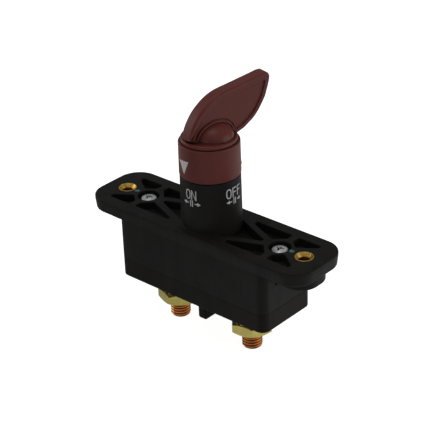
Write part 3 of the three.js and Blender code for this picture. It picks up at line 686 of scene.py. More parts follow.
# ---------------------------------------------------------------- base cover and its gasket
def cover_mesh():
    shell = slab(lambda d: rrect(BODY_X + d, BODY_Y - 0.05 + d, BODY_R + d, 10), BODY_BOTTOM - 0.1, SEAM_BOTTOM, 0.12, 0.5, 5)
    steps = [("-", slab(lambda d: rrect(BODY_X - 3.1 + d, BODY_Y - 3.1 + d, 2.0 + d, 6), COVER_FLOOR, SEAM_BOTTOM + 1, 0, 0.5, 3))]
    posts = many([disc(4.3, COVER_FLOOR - 1, SEAM_BOTTOM - 0.4, 40, sx * SCREW_X) for sx in (1, -1)])
    pedestal = [(0, PEDESTAL_BOTTOM), (PEDESTAL_R - 0.35, PEDESTAL_BOTTOM), (PEDESTAL_R - 0.1, PEDESTAL_BOTTOM + 0.1), (PEDESTAL_R, PEDESTAL_BOTTOM + 0.35), (PEDESTAL_R + 0.15, BODY_BOTTOM - 0.5)]
    pedestal += [(PEDESTAL_R + 0.15 + 0.5 * (1 - math.cos(rad(a))), BODY_BOTTOM - 0.5 + 0.5 * math.sin(rad(a))) for a in (20, 40, 60, 80)] + [(PEDESTAL_R + 0.65, BODY_BOTTOM + 1), (0, BODY_BOTTOM + 1)]
    steps += [("+", posts), ("+", many([lathe(pedestal, 96, sx * STUD_X) for sx in (1, -1)]))]
    # the barrier between the terminals: drawn flat as (y, z), then stood up
    low, high = FIN_BOTTOM, BODY_BOTTOM + 1.0
    outline = [(-FIN_Y, low), (FIN_Y, low), (FIN_Y, high), (-FIN_Y, high)]
    ring = lambda d, x: at(round_poly(outline, [2.0, 2.0, 0.3, 0.3], d, 10), x)
    e = 0.55
    rings = [ring(-i, -FIN_X + e - s) for i, s in fillet_steps(e, 4)[::-1]] + [ring(-i, FIN_X - e + s) for i, s in fillet_steps(e, 4)]
    v, f = loft(rings)
    v = v[:, [2, 0, 1]]
    # the sides draw in a little towards the bottom
    v[:, 0] *= 1.0 - 0.10 * np.clip((BODY_BOTTOM - v[:, 2]) / (BODY_BOTTOM - FIN_BOTTOM), 0, 1)
    steps.append(("+", (v, f)))
    cuts = []
    for sx in (1, -1):
        hexa = round_poly([((HEAD_AF + 0.7) / math.sqrt(3) * math.cos(rad(30 + 60 * k)), (HEAD_AF + 0.7) / math.sqrt(3) * math.sin(rad(30 + 60 * k))) for k in range(6)], 0.4, 0, 4)
        cuts.append([moved(loft([at(hexa, HEAD_SEAT), at(hexa, SEAM_BOTTOM + 1)]), sx * STUD_X),
                     disc(STUD_R + 0.12, PEDESTAL_BOTTOM - 1, COVER_FLOOR, 64, sx * STUD_X),
                     disc(7.9, HEAD_SEAT - 2.0, HEAD_SEAT + 0.5, 64, sx * STUD_X),
                     disc(SCREW_R + 0.3, -34.4, SEAM_BOTTOM + 1, 32, sx * SCREW_X)])
    for group in zip(*cuts):
        steps.append(("-", many(group)))
    return combine(shell, steps)


piece("base_cover_moulding", cover_mesh(), "housing_body", COVER_BLACK, "base_cover")


def gasket_mesh():
    z0, z1 = SEAM_BOTTOM + 0.02, SEAM_TOP - 0.02
    outer = slab(lambda d: rrect(BODY_X - 0.4 + d, BODY_Y - 0.4 + d, BODY_R - 0.4 + d, 10), z0, z1, 0.1, 0.1, 2)
    inner = loft([at(rrect(BODY_X - 2.4, BODY_Y - 2.4, 2.4, 6), z0 - 1), at(rrect(BODY_X - 2.4, BODY_Y - 2.4, 2.4, 6), z1 + 1)])
    inner = shape_of(combine(inner, [("-", many([disc(4.2, z0 - 3, z1 + 3, 32, sx * SCREW_X) for sx in (1, -1)]))]))
    return combine(outer, [("-", inner), ("-", many([disc(SCREW_R + 0.3, z0 - 1, z1 + 1, 32, sx * SCREW_X) for sx in (1, -1)]))])


piece("cover_gasket", gasket_mesh(), "housing_body", RUBBER, "base_gasket")


# ---------------------------------------------------------------- fasteners and terminals
def hexagon(af, heading, z0, z1, x=0.0, corner=0.25, grow=0.0):
    R = af / math.sqrt(3)
    pts = round_poly([(R * math.cos(rad(heading + 60 * k)), R * math.sin(rad(heading + 60 * k))) for k in range(6)], corner, grow, 3)
    pts = pts + np.array((x, 0))
    return loft([at(pts, z0), at(pts, z1)])


def insert_mesh(x):
    p = [(0, INSERT_BOTTOM), (INSERT_R - 0.5, INSERT_BOTTOM), (INSERT_R, INSERT_BOTTOM + 0.6), (INSERT_R, -0.14), (INSERT_R - 0.04, -0.05), (INSERT_R - 0.14, -0.01), (0, -0.01)]
    sink = [(0, -1.9), (2.5, -1.9), (2.62, -1.62), (2.9, -1.25), (3.65, -0.42), (3.85, -0.2), (4.02, -0.08), (4.2, 0.3), (4.2, 1), (0, 1)]
    return combine(lathe(p, 96, x), [("-", lathe(sink, 96, x)), ("-", thread(2.98, 2.46, 1.0, -10.5, -1.7, 56, x))])


def screw_mesh(x):
    p = [(0, -33.6), (SCREW_R - 0.6, -33.6), (SCREW_R, -32.6), (SCREW_R, SCREW_SEAT + 0.3), (SCREW_HEAD_R - 0.15, SCREW_SEAT + 0.3), (SCREW_HEAD_R, SCREW_SEAT + 0.45)]
    p += [(SCREW_HEAD_R, -1.95)] + [(SCREW_HEAD_R - 0.8 * (1 - math.cos(rad(a))), -1.95 + 0.8 * math.sin(rad(a))) for a in (15, 30, 45, 60)]
    p += [(3.2, -1.09), (2.7, -0.86), (2.1, -0.66), (1.4, -0.50), (0.7, -0.42), (0, -0.40)]
    cuts = []
    for heading in (12, 102):
        rings = []
        for z, half, wide in ((-2.7, 0.6, 0.2), (-2.3, 1.3, 0.42), (-0.3, 2.55, 0.62), (0.5, 2.6, 0.66)):
            pts = rrect(half, wide, wide * 0.45, 3)
            c, s = math.cos(rad(heading)), math.sin(rad(heading))
            rings.append(at(np.column_stack((pts[:, 0] * c - pts[:, 1] * s + x, pts[:, 0] * s + pts[:, 1] * c)), z))
        cuts.append(("-", loft(rings)))
    cuts.append(("-", lathe([(0, -2.7), (0.35, -2.5), (1.15, -0.9), (1.4, -0.2), (1.5, 0.5), (0, 0.5)], 24, x)))
    return combine(lathe(p, 96, x), cuts)


def stud_mesh(x, hand=1):
    blank = lathe([(0, STUD_END), (STUD_R - 0.9, STUD_END), (STUD_R - 0.8, STUD_END + 0.03), (STUD_R, STUD_END + 0.85), (STUD_R, PEDESTAL_BOTTOM + 0.8), (0, PEDESTAL_BOTTOM + 0.8)], 96, x)
    rod = shape_of(combine(thread(STUD_R + 0.02, 4.1, 1.5, STUD_END, PEDESTAL_BOTTOM + 1.2, 80, x), [("&", blank)]))
    shank = disc(STUD_R - 0.06, PEDESTAL_BOTTOM + 0.6, HEAD_SEAT + 1, 80, x)
    R = HEAD_AF / math.sqrt(3)
    dome = lathe([(0, HEAD_SEAT + 0.3), (R + 0.2, HEAD_SEAT + 0.3), (R + 0.2, HEAD_TOP - 0.75), (HEAD_AF / 2 - 0.25, HEAD_TOP), (0, HEAD_TOP)], 72, x)
    head = shape_of(combine(hexagon(HEAD_AF, 30, HEAD_SEAT + 0.3, HEAD_TOP, x), [("&", dome)]))
    return combine(rod, [("+", shank), ("+", head)])


def nut_mesh(x, heading):
    R, flat = NUT_AF / math.sqrt(3), NUT_AF / 2 - 0.1
    d = (R - flat) * math.tan(rad(30))
    trim = lathe([(0, NUT_BOTTOM), (flat - 0.1, NUT_BOTTOM), (flat, NUT_BOTTOM + 0.03), (R + 0.1, NUT_BOTTOM + d), (R + 0.1, NUT_TOP - d), (flat, NUT_TOP - 0.03), (flat - 0.1, NUT_TOP), (0, NUT_TOP)], 120, x)
    b = 5.03
    bore = lathe([(0, NUT_BOTTOM - 1), (b + 0.65, NUT_BOTTOM - 1), (b + 0.62, NUT_BOTTOM), (b, NUT_BOTTOM + 0.5), (b, NUT_TOP - 0.5), (b + 0.62, NUT_TOP), (b + 0.65, NUT_TOP + 1), (0, NUT_TOP + 1)], 96, x)
    return combine(hexagon(NUT_AF, heading, NUT_BOTTOM, NUT_TOP, x, 0.3), [("&", trim), ("-", bore)])


def lock_washer_mesh(x):
    slit = turned(box(3.5, 12, -0.65, 0.65, -5, 5), 35, "X")
    slit = turned(slit, -95, "Z", (x, 0, (LOCK_TOP + LOCK_BOTTOM) / 2))
    return combine(rounded_ring(STUD_R + 0.35, LOCK_R, LOCK_BOTTOM, LOCK_TOP, 0.35, 112, x, 4), [("-", slit)])


def ring_of(r, wire, z, x=0.0, n=80):
    return lathe([(r + wire * math.cos(rad(a)), z + wire * math.sin(rad(a))) for a in range(0, 360, 30)], n, x, closed=True)


for side, sx, heading in (("left", -1, -77.4), ("right", 1, -50.0)):
    piece(f"threaded_insert_{side}", insert_mesh(sx * INSERT_X), "housing_body", GOLD_BRASS, f"insert_{side}", sharp=50)
    piece(f"cross_screw_{side}", screw_mesh(sx * SCREW_X), "housing_body", ZINC, f"cover_screw_{side}", sharp=38)
    piece(f"stud_{side}", stud_mesh(sx * STUD_X), "housing_body", STUD_COPPER, f"terminal_stud_{side}", sharp=80)
    piece(f"hex_nut_{side}", nut_mesh(sx * STUD_X, heading), "housing_body", YELLOW_BRASS, f"terminal_nut_{side}", sharp=20)
    piece(f"plain_washer_{side}", rounded_ring(STUD_R + 0.4, WASHER_R, WASHER_BOTTOM, WASHER_TOP, 0.25, 112, sx * STUD_X), "housing_body", WASHER_BRASS, f"flat_washer_{side}", sharp=60)
    piece(f"spring_washer_{side}", lock_washer_mesh(sx * STUD_X), "housing_body", YELLOW_BRASS, f"lock_washer_{side}", sharp=50)
    piece(f"stud_ring_{side}", ring_of(6.6, 0.78, HEAD_SEAT - 0.9, sx * STUD_X), "housing_body", RUBBER, f"stud_seal_{side}", sharp=80)
piece("shaft_ring", ring_of(6.95, 0.78, 29.1), "housing_body", RUBBER, "shaft_seal", sharp=80)


# ---------------------------------------------------------------- handle: drawn with the paddle along +Y, then turned
def spline(points, per=6, closed=True, alpha=0.5):
    """A smooth curve through the points, with even-ish steps."""
    P = [np.asarray(p, float) for p in points]
    n = len(P)
    out = []
    for i in range(n if closed else n - 1):
        p0, p1, p2, p3 = (P[(i - 1) % n], P[i], P[(i + 1) % n], P[(i + 2) % n]) if closed else (P[max(i - 1, 0)], P[i], P[i + 1], P[min(i + 2, n - 1)])
        if not closed and i == 0:
            p0 = 2 * p1 - p2
        if not closed and i == n - 2:
            p3 = 2 * p2 - p1
        t0 = 0.0
        t1 = t0 + max(np.linalg.norm(p1 - p0) ** alpha, 1e-6)
        t2 = t1 + max(np.linalg.norm(p2 - p1) ** alpha, 1e-6)
        t3 = t2 + max(np.linalg.norm(p3 - p2) ** alpha, 1e-6)
        steps = max(2, int(round(np.linalg.norm(p2 - p1) / 3.0 * per)))
        for k in range(steps):
            t = t1 + (t2 - t1) * k / steps
            a1 = (t1 - t) / (t1 - t0) * p0 + (t - t0) / (t1 - t0) * p1
            a2 = (t2 - t) / (t2 - t1) * p1 + (t - t1) / (t2 - t1) * p2
            a3 = (t3 - t) / (t3 - t2) * p2 + (t - t2) / (t3 - t2) * p3
            b1 = (t2 - t) / (t2 - t0) * a1 + (t - t0) / (t2 - t0) * a2
            b2 = (t3 - t) / (t3 - t1) * a2 + (t - t1) / (t3 - t1) * a3
            out.append((t2 - t) / (t2 - t1) * b1 + (t - t1) / (t2 - t1) * b2)
    if not closed:
        out.append(P[-1])
    return np.array(out)


def outward(curve, closed=True):
    """Unit normals of a curve in (u, z), to the left of its direction of travel."""
    if closed:
        d = np.roll(curve, -1, 0) - np.roll(curve, 1, 0)
    else:
        d = np.vstack((curve[1] - curve[0], curve[2:] - curve[:-2], curve[-1] - curve[-2]))
    d = d / np.maximum(np.linalg.norm(d, axis=1), 1e-9)[:, None]
    return np.column_stack((-d[:, 1], d[:, 0]))


def upright(curve, x):
    """Points (u, z) at x' = x, as (x, y, z)."""
    x = np.full(len(curve), x) if np.isscalar(x) else x
    return np.column_stack((x, curve[:, 0], curve[:, 1]))


def paddle_plate():
    edge = spline(PADDLE_FRONT + PADDLE_LINE + PADDLE_TIP + PADDLE_BACK, 6, closed=False)
    curve = np.vstack((edge, [(8, 43.4), (0, 43.0), (-8, 43.4)]))
    normal = outward(curve)                                      # the outline runs clockwise, so this points outwards
    half = PADDLE_T / 2
    # the front is rounded more than the lower back edge
    R = np.where(curve[:, 0] > 17, np.where(curve[:, 1] < 62, 1.0, 1.1), 1.15)
    rings = []
    angles = [90, 75, 60, 45, 30, 15, 0]
    for side, order in ((-1, angles), (1, angles[::-1])):
        for a in order:
            inset = R * (1 - math.cos(rad(a)))
            rings.append(upright(curve - normal * inset[:, None], side * (half - R * (1 - math.sin(rad(a))))))
    return loft(rings)


def sunk(side, recess=PADDLE_SINK):
    """Cutter for one side's sunk face."""
    front = spline(PADDLE_FRONT + PADDLE_LINE + [(30.2, 68.6)], 4, closed=False)
    back = spline([(33.35, 65.4)] + PADDLE_BACK, 4, closed=False)
    nf, nb = outward(front, False), outward(back, False)
    f = front - nf * 3.0
    width = np.interp(back[:, 1], [44, 52, 58, 65.4], [2.3, 2.3, 2.4, 2.6])
    b = back - nb * width[:, None]
    # stop both curves where they meet near the tip
    corner = np.array((30.2, 65.45))
    f = f[f[:, 0] < corner[0] - 0.3]
    b = b[b[:, 1] < corner[1] - 0.3]
    poly = np.vstack((f, [corner], b))[::-1]
    half = PADDLE_T / 2
    rings = []
    soft = 0.16
    for d, x in ((-0.32, half - recess), (-0.16, half - recess + 0.03), (-0.06, half - recess + 0.14), (-0.03, half - soft)):
        rings.append((d, x))
    rings += [(-0.03 + i, half - soft + s) for i, s in fillet_steps(soft, 4, 80)[1:]] + [(0.12, half + 2.0)]
    shaped = [upright(np.array(offset_poly(list(poly), d)), side * x) for d, x in rings]
    return loft(shaped)


def handle_mesh():
    plate = shape_of(combine(paddle_plate(), [("-", sunk(1)), ("-", sunk(-1))]))
    # hub: plug, lip, ledge, and the dome as an ellipsoid
    hub = [(0, PLUG_BOTTOM), (PLUG_R - 0.3, PLUG_BOTTOM), (PLUG_R, PLUG_BOTTOM + 0.3), (PLUG_R, LIP2_BOTTOM), (LIP2_R - 0.2, LIP2_BOTTOM), (LIP2_R, LIP2_BOTTOM + 0.2)]
    hub += [(LIP2_R - i, LIP2_TOP - 0.75 + s) for i, s in fillet_steps(0.75, 6)]
    hub += [(12.0, LIP2_TOP - 0.05), (11.75, LIP2_TOP - 0.22), (11.3, LIP2_TOP - 0.28), (0, LIP2_TOP - 0.28)]
    dome = []
    rows = [(math.cos(rad(a)), math.sin(rad(a))) for a in (-25, 0, 8, 16, 24, 32, 40, 48, 56, 64, 72, 80, 86)]
    n = 112
    for c, s in rows:
        dome.append(np.array([(11.4 * c * math.cos(2 * math.pi * k / n), 1.6 + 10.0 * c * math.sin(2 * math.pi * k / n), 44.6 + 7.1 * s) for k in range(n)]))
    s = combine(lathe(hub, 128), [("+", loft(dome)), ("+", plate)])
    # a groove and a bead where the dome runs up onto each sunk face
    arc = lambda a, b, low, high: np.array([(1.6 + a * math.cos(rad(t)), 44.6 + b * math.sin(rad(t))) for t in np.linspace(high, low, 44)])
    face = PADDLE_T / 2 - PADDLE_SINK
    steps = []
    for side in (1, -1):
        steps.append(("-", tube(upright(arc(11.0, 8.15, 8, 172), side * (face + 0.10)), 0.50, 14)))
        steps.append(("+", tube(upright(arc(10.15, 7.35, 2, 178), side * (face + 0.22)), 0.62, 16)))
    steps.append(("-", disc(SHAFT_R + 0.3, PLUG_BOTTOM - 1, SHAFT_TOP + 0.4, 64)))
    steps.append(("-", turned(disc(PIN_R + 0.3, -14, 14, 32), 90, "Y", (0, 0, 39.6))))
    return combine(shape_of(s), steps)


def turn_mesh(me, degrees):
    me.transform(Matrix.Rotation(rad(degrees), 4, "Z"))
    return me


def collar_mesh():
    p = [(COLLAR_BORE, COLLAR_BOTTOM + 0.2), (COLLAR_BORE + 0.2, COLLAR_BOTTOM), (COLLAR_R0 - 0.35, COLLAR_BOTTOM)]
    p += [(COLLAR_R0 - 0.35 + 0.35 * math.sin(rad(a)), COLLAR_BOTTOM + 0.35 * (1 - math.cos(rad(a)))) for a in (20, 45, 70, 90)]
    p += [(COLLAR_R1 - i, COLLAR_TOP - 0.55 + s) for i, s in fillet_steps(0.55, 5)]
    p += [(COLLAR_BORE + 0.3, COLLAR_TOP), (COLLAR_BORE, COLLAR_TOP - 0.3), (COLLAR_BORE, WEB_TOP), (SHAFT_R + 0.3, WEB_TOP), (SHAFT_R + 0.3, WEB_BOTTOM), (COLLAR_BORE, WEB_BOTTOM)]
    ring = lathe(p, 160, closed=True)
    # azimuths count from -Y towards +X on the object at rest
    def polar(azimuth, r, z):
        a = rad(azimuth - 90)
        return (r * math.cos(a), r * math.sin(a), z)
    pip = disc(0.42, -0.5, 0.24, 20, top=0.2, steps=3)
    pip = turned(turned(pip, 90, "Y"), 40.2 - 90, "Z", polar(40.2, 14.62, 34.6))
    nub = []
    for z, out in ((32.6, -0.15), (30.1, 0.26), (29.9, 0.24), (29.3, -0.15)):
        pts = [polar(132 + w, r, z) for w, r in ((-3.4, 14.1), (-3.0, 14.64 + out * 0.92), (0, 14.64 + out), (3.0, 14.64 + out * 0.92), (3.4, 14.1))]
        nub.append(np.array(pts))
    ring = turned(ring, 0)
    return combine(ring, [("+", pip), ("+", loft(nub[::-1]))])


piece("turn_handle", turn_mesh(handle_mesh(), HANDLE_REST), "handle_body", RED, "handle", sharp=42)
piece("pointer_collar", collar_mesh(), "handle_body", RED_COLLAR, "indicator_collar", sharp=36)


def shaft_mesh():
    p = [(0, SHAFT_BOTTOM), (SHAFT_R - 0.6, SHAFT_BOTTOM), (SHAFT_R, SHAFT_BOTTOM + 0.6), (SHAFT_R, 20.7), (4.4, 20.7), (4.4, 22.4), (SHAFT_R, 22.4), (SHAFT_R, SHAFT_TOP - 0.6), (SHAFT_R - 0.6, SHAFT_TOP), (0, SHAFT_TOP)]
    return combine(lathe(p, 72), [("-", turned(disc(PIN_R + 0.15, -14, 14, 32), 90, "Y", (0, 0, 39.6))), ("-", cross_bar(PIN_R + 0.15, 14, PIN_Z, 38 - HANDLE_REST))])


def cross_bar(r, half, z, heading, soft=0.0):
    s = turned(disc(r, -half, half, 32, top=soft, bottom=soft), 90, "Y")
    return turned(s, heading, "Z", (0, 0, z))


def e_clip(r0, r1, z0, z1, wide):
    return combine(rounded_ring(r0, r1, z0, z1, 0.12, 72), [("-", box(-wide, wide, 0, r1 + 3, z0 - 2, z1 + 2))])


piece("turning_shaft", turn_mesh(shaft_mesh(), HANDLE_REST), "handle_body", STEEL, "handle_shaft")
piece("roll_pin", turned(cross_bar(PIN_R, 11.5, 39.6, 0, 0.3), HANDLE_REST), "handle_body", STEEL, "handle_roll_pin")
piece("lift_pin", turned(cross_bar(PIN_R, 9.3, PIN_Z, 38 - HANDLE_REST, 0.3), HANDLE_REST), "handle_body", STEEL, "drive_pin")
piece("shaft_clip", turn_mesh(e_clip(4.7, 8.2, 21.0, 22.1, 3.2), HANDLE_REST), "handle_body", STEEL, "shaft_retaining_clip")


# ---------------------------------------------------------------- lifting group
def carrier_mesh():
    sleeve = [(0, CARRIER_BOTTOM), (SLEEVE_R, CARRIER_BOTTOM), (SLEEVE_R, 5.0), (10.6, 5.3), (10.8, 5.6), (10.8, SLEEVE_TOP - 0.2), (10.6, SLEEVE_TOP), (SLEEVE_BORE + 0.2, SLEEVE_TOP), (SLEEVE_BORE, SLEEVE_TOP - 0.2), (SLEEVE_BORE, SLEEVE_BOTTOM), (0, SLEEVE_BOTTOM)]
    tail = [(0, -29.4), (3.7, -29.4), (4.2, -28.9), (4.2, -28.5), (3.2, -28.5), (3.2, -27.1), (4.2, -27.1), (4.2, CARRIER_BOTTOM + 0.5), (0, CARRIER_BOTTOM + 0.5)]
    block = slab(lambda d: rrect(12 + d, BRIDGE_Y + d, 1.0 + d, 4), CARRIER_BOTTOM, SLEEVE_BOTTOM, 0.4, 0.2, 3)
    steps = [("+", block)]
    for sy in (1, -1):
        ear = slab(lambda d: rrect(6.3 + d, 3.45 + d, 0.8 + d, 4), CARRIER_BOTTOM, -14.0, 0.4, 0.2, 3)
        steps.append(("+", moved(ear, 0, sy * 11.45)))
    steps.append(("+", lathe(tail, 56)))
    n = 26
    for start in (38, 218):
        path = []
        for k in range(-1, n + 2):
            f = min(max(k / n, 0), 1)
            path.append((start + HANDLE_SWEEP * f + (-15 if k < 0 else 15 if k > n else 0), PIN_Z - LIFT * f))
        rings = []
        for a, z in path:
            c, s = math.cos(rad(a)), math.sin(rad(a))
            rings.append(np.array([(r * c, r * s, z + h) for r, h in ((5.4, -2.1), (11.5, -2.1), (11.5, 2.1), (5.4, 2.1))]))
        steps.append(("-", loft(rings)))
    return combine(lathe(sleeve, 96), steps)


def bridge_mesh():
    bar = slab(lambda d: rrect(BRIDGE_X + d, BRIDGE_Y + d, 3 + d, 8), BRIDGE_BOTTOM, BRIDGE_TOP, 0.4, 0.4, 4)
    return combine(bar, [("-", disc(4.5, BRIDGE_BOTTOM - 1, BRIDGE_TOP + 1, 56))])


piece("lifting_carrier", carrier_mesh(), "bridge_body", NYLON, "bridge_carrier")
piece("bridge_bar", bridge_mesh(), "bridge_body", COPPER, "contact_bridge")
for side, sx in (("left", -1), ("right", 1)):
    piece(f"pad_{side}", disc(PAD_R, PAD_BOTTOM, PAD_TOP, 64, sx * STUD_X, bottom=0.35), "bridge_body", SILVER, f"contact_pad_{side}")
piece("carrier_e_clip", e_clip(3.5, 7.0, -28.2, -27.4, 2.4), "bridge_body", STEEL, "carrier_clip")

z0, z1 = SLEEVE_TOP + 0.3 + SPRING_WIRE, TOWER_ROOF - 0.3 - SPRING_WIRE
helix = [(SPRING_R * math.cos(t), SPRING_R * math.sin(t), z0 + (z1 - z0) * t / (2 * math.pi * SPRING_TURNS)) for t in np.linspace(0, 2 * math.pi * SPRING_TURNS, 32 * SPRING_TURNS + 1)]
coil = piece("return_spring", tube(helix, SPRING_WIRE, 12), "housing_body", STEEL, "contact_spring", sharp=60)
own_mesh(coil)


# ---------------------------------------------------------------- printed marks, wrapped onto the tower
def prism2d(pts, t0=0.0, t1=1.0):
    """Points (s, z) as a thin slab: x = s, y = depth, z = z."""
    pts = [tuple(p) for p in pts]
    if area(pts) < 0:
        pts = pts[::-1]
    v = np.array([(p[0], t0, p[1]) for p in pts] + [(p[0], t1, p[1]) for p in pts], float)
    n = len(pts)
    f = [list(range(n)), [n + i for i in range(n)][::-1]] + [[i, (i + 1) % n, n + (i + 1) % n, n + i][::-1] for i in range(n)]
    return v, f


def wrapped(flat, azimuth, radius, thick=0.045, sunk=0.03, step=0.35, max_az=None):
    """Flat marks (x = along, z = height, y = 0..1 through the ink) wrapped on an upright cylinder. azimuth counts from -Y towards +X."""
    me = mesh_of("mark", flat)
    bm = bmesh.new()
    bm.from_mesh(me)
    bpy.data.meshes.remove(me)
    bmesh.ops.triangulate(bm, faces=bm.faces)
    xs = [v.co.x / S for v in bm.verts]
    x = math.floor(min(xs) / step) * step
    while x < max(xs):
        geom = list(bm.verts) + list(bm.edges) + list(bm.faces)
        bmesh.ops.bisect_plane(bm, geom=geom, plane_co=(x * S, 0, 0), plane_no=(1, 0, 0), dist=1e-8)
        x += step
    for v in bm.verts:
        s, depth, z = v.co.x / S, v.co.y / S, v.co.z / S
        r0 = radius(z)
        r = r0 - sunk + depth * (sunk + thick)
        a = rad(azimuth - 90) + s / r0
        v.co = Vector((r * math.cos(a), r * math.sin(a), z)) * S
    bmesh.ops.recalc_face_normals(bm, faces=bm.faces)
    out = bpy.data.meshes.new("mark")
    bm.to_mesh(out)
    bm.free()
    return out


tower_r = lambda z: TOWER_R0 + (TOWER_R1 - TOWER_R0) * z / TOWER_TOP
collar_r = lambda z: COLLAR_R0 + (COLLAR_R1 - COLLAR_R0) * (z - COLLAR_BOTTOM) / (COLLAR_TOP - COLLAR_BOTTOM)


def superellipse(cx, cz, a, b, p=2.5, n=48):
    out = []
    for k in range(n):
        t = 2 * math.pi * k / n
        c, s = math.cos(t), math.sin(t)
        out.append((cx + a * abs(c) ** (2 / p) * (1 if c > 0 else -1), cz + b * abs(s) ** (2 / p) * (1 if s > 0 else -1)))
    return out


def letter(kind, x, z, wide, high, stroke):
    """One sans-serif capital with its left edge at x and its foot at z."""
    if kind == "O":
        return [shape_of(combine(prism2d(superellipse(x + wide / 2, z + high / 2, wide / 2, high / 2, 2.6)), [("-", prism2d(superellipse(x + wide / 2, z + high / 2, wide / 2 - stroke, high / 2 - stroke, 2.4), -1, 2))]))]
    if kind == "N":
        s = stroke
        return [prism2d([(x, z), (x + s, z), (x + s, z + high - 1.75 * s), (x + wide - s * 1.0, z), (x + wide, z), (x + wide, z + high), (x + wide - s, z + high), (x + wide - s, z + 1.75 * s), (x + s * 1.0, z + high), (x, z + high)])]
    if kind == "F":
        s = stroke
        m = z + high * 0.47
        return [prism2d([(x, z), (x + s, z), (x + s, m), (x + wide * 0.9, m), (x + wide * 0.9, m + s), (x + s, m + s), (x + s, z + high - s), (x + wide, z + high - s), (x + wide, z + high), (x, z + high)])]


def arrow_symbol(z):
    """Arrow left, two bars, arrow right."""
    out = []
    for sx in (1, -1):
        out.append([(sx * 0.28, z - 1.65), (sx * 0.80, z - 1.65), (sx * 0.80, z + 1.65), (sx * 0.28, z + 1.65)])
        out.append([(sx * 1.75, z - 0.26), (sx * 3.1, z - 0.26), (sx * 3.1, z - 0.95), (sx * 5.0, z), (sx * 3.1, z + 0.95), (sx * 3.1, z + 0.26), (sx * 1.75, z + 0.26)])
    return [prism2d(p) for p in out]


def label(text, azimuth, foot, high, stroke, name):
    """text is a list of (letter, left edge, width)."""
    shapes = []
    for kind, x, wide in text:
        shapes += letter(kind, x, foot, wide, high, stroke)
    shapes += arrow_symbol(15.4)
    piece(name, wrapped(many(shapes), azimuth, tower_r), "housing_body", WHITE_INK, sharp=30, weighted=False)


label([("O", -3.25, 2.8), ("N", -0.05, 2.85)], 3.1, 17.3, 5.0, 0.5, "mark_on")
label([("O", -4.95, 3.0), ("F", -1.3, 2.6), ("F", 2.0, 2.6)], 90.8, 17.3, 5.0, 0.52, "mark_off")


def pointer_mesh():
    c = lambda az, z: (rad(az + 14.5) * COLLAR_R0, z)
    tri = round_poly([c(-28.3, 35.5), c(-12.9, 29.2), c(-0.1, 36.5)], 0.18, 0, 4)
    return wrapped(prism2d(tri), -14.5, collar_r, 0.05)


piece("mark_pointer", pointer_mesh(), "handle_body", POINTER_INK, sharp=30, weighted=False)


def paint_dot(x, y, r, seed):
    """A dab of marking paint, a little ragged at its rim."""
    n, rng = 48, np.random.default_rng(seed)
    wobble = sum(a * np.sin(k * np.linspace(0, 2 * math.pi, n, endpoint=False) + p) for k, a, p in zip((2, 3, 5, 7), (0.10, 0.06, 0.05, 0.03), rng.uniform(0, 6, 4)))
    ring = lambda scale, z: np.array([(x + r * scale * (1 + w) * math.cos(2 * math.pi * i / n), y + r * scale * (1 + w) * math.sin(2 * math.pi * i / n), z) for i, w in enumerate(wobble)])
    return loft([ring(1.0, -0.05), ring(1.0, 0.012), ring(0.93, 0.035), ring(0.6, 0.045)])


piece("paint_dot_left", paint_dot(-49.4, 0.0, 1.2, 3), "housing_body", TEAL_PAINT, sharp=60, weighted=False)
piece("paint_dot_right", paint_dot(48.5, 0.2, 1.3, 8), "housing_body", TEAL_PAINT, sharp=60, weighted=False)


# ---------------------------------------------------------------- camera
right, up, back = Vector((0.75087863, 0.65967114, -0.03186344)), Vector((-0.29356629, 0.37659507, 0.87863245)), Vector((0.59160808, -0.6503923, 0.4764344))
view = Matrix((right, up, back)).transposed().to_4x4()
view.translation = Vector((441.34281136, -481.99088691, 355.96837838)) * S
cam = bpy.data.cameras.new("camera")
cam.sensor_width = 36.0
cam.lens = 1561.744 / 433.0 * 36.0
cam.clip_start, cam.clip_end = 0.05, 20.0
camera = bpy.data.objects.new("camera", cam)
camera.matrix_world = view
SCENE.collection.objects.link(camera)
SCENE.camera = camera


# ---------------------------------------------------------------- floor, lights, surroundings
def floor():
    m, t, b = new_material("floor_white")
    g = Graph(t)
    out = next(n for n in t.nodes if n.type == "OUTPUT_MATERIAL")
    path = t.nodes.new("ShaderNodeLightPath")
    seen = g.mix(path.outputs["Is Camera Ray"], (0.30, 0.30, 0.30, 1), (0.93, 0.93, 0.93, 1))
    g.put(b.inputs["Base Color"], seen)
    b.inputs["Roughness"].default_value = 0.9
    b.inputs["Specular IOR Level"].default_value = 0.1
    # seen directly, it is lifted to paper white everywhere that isn't in a deep shadow
    glow = t.nodes.new("ShaderNodeEmission")
    glow.inputs["Color"].default_value = (1, 1, 1, 1)
    # and polished metal above it sees it as a bright sheet
    split = t.nodes.new("ShaderNodeSeparateXYZ")
    g.put(split.inputs[0], g.where)
    sheet = g.remap(split.outputs["X"], -0.07, 0.07, 0.26, 0.62)
    across = g.math("ADD", g.math("MULTIPLY", split.outputs["X"], 0.74), g.math("MULTIPLY", split.outputs["Y"], 0.67))
    strip = g.remap(g.math("ABSOLUTE", g.math("SUBTRACT", across, 0.0155)), 0.003, 0.013, 0.42, 1.0)
    sheet = g.math("MULTIPLY", sheet, strip)
    g.put(glow.inputs["Strength"], g.math("ADD", g.math("MULTIPLY", path.outputs["Is Camera Ray"], 0.86), g.math("MULTIPLY", path.outputs["Is Glossy Ray"], sheet)))
    add = t.nodes.new("ShaderNodeAddShader")
    t.links.new(b.outputs[0], add.inputs[0])
    t.links.new(glow.outputs[0], add.inputs[1])
    t.links.new(add.outputs[0], out.inputs["Surface"])
    me = mesh_of("floor", (np.array([(-3000, -3000, STUD_END), (3000, -3000, STUD_END), (3000, 3000, STUD_END), (-3000, 3000, STUD_END)], float), [[0, 1, 2, 3]]))
    o = bpy.data.objects.new("floor", me)
    o.data.materials.append(m)
    SCENE.collection.objects.link(o)
    return o


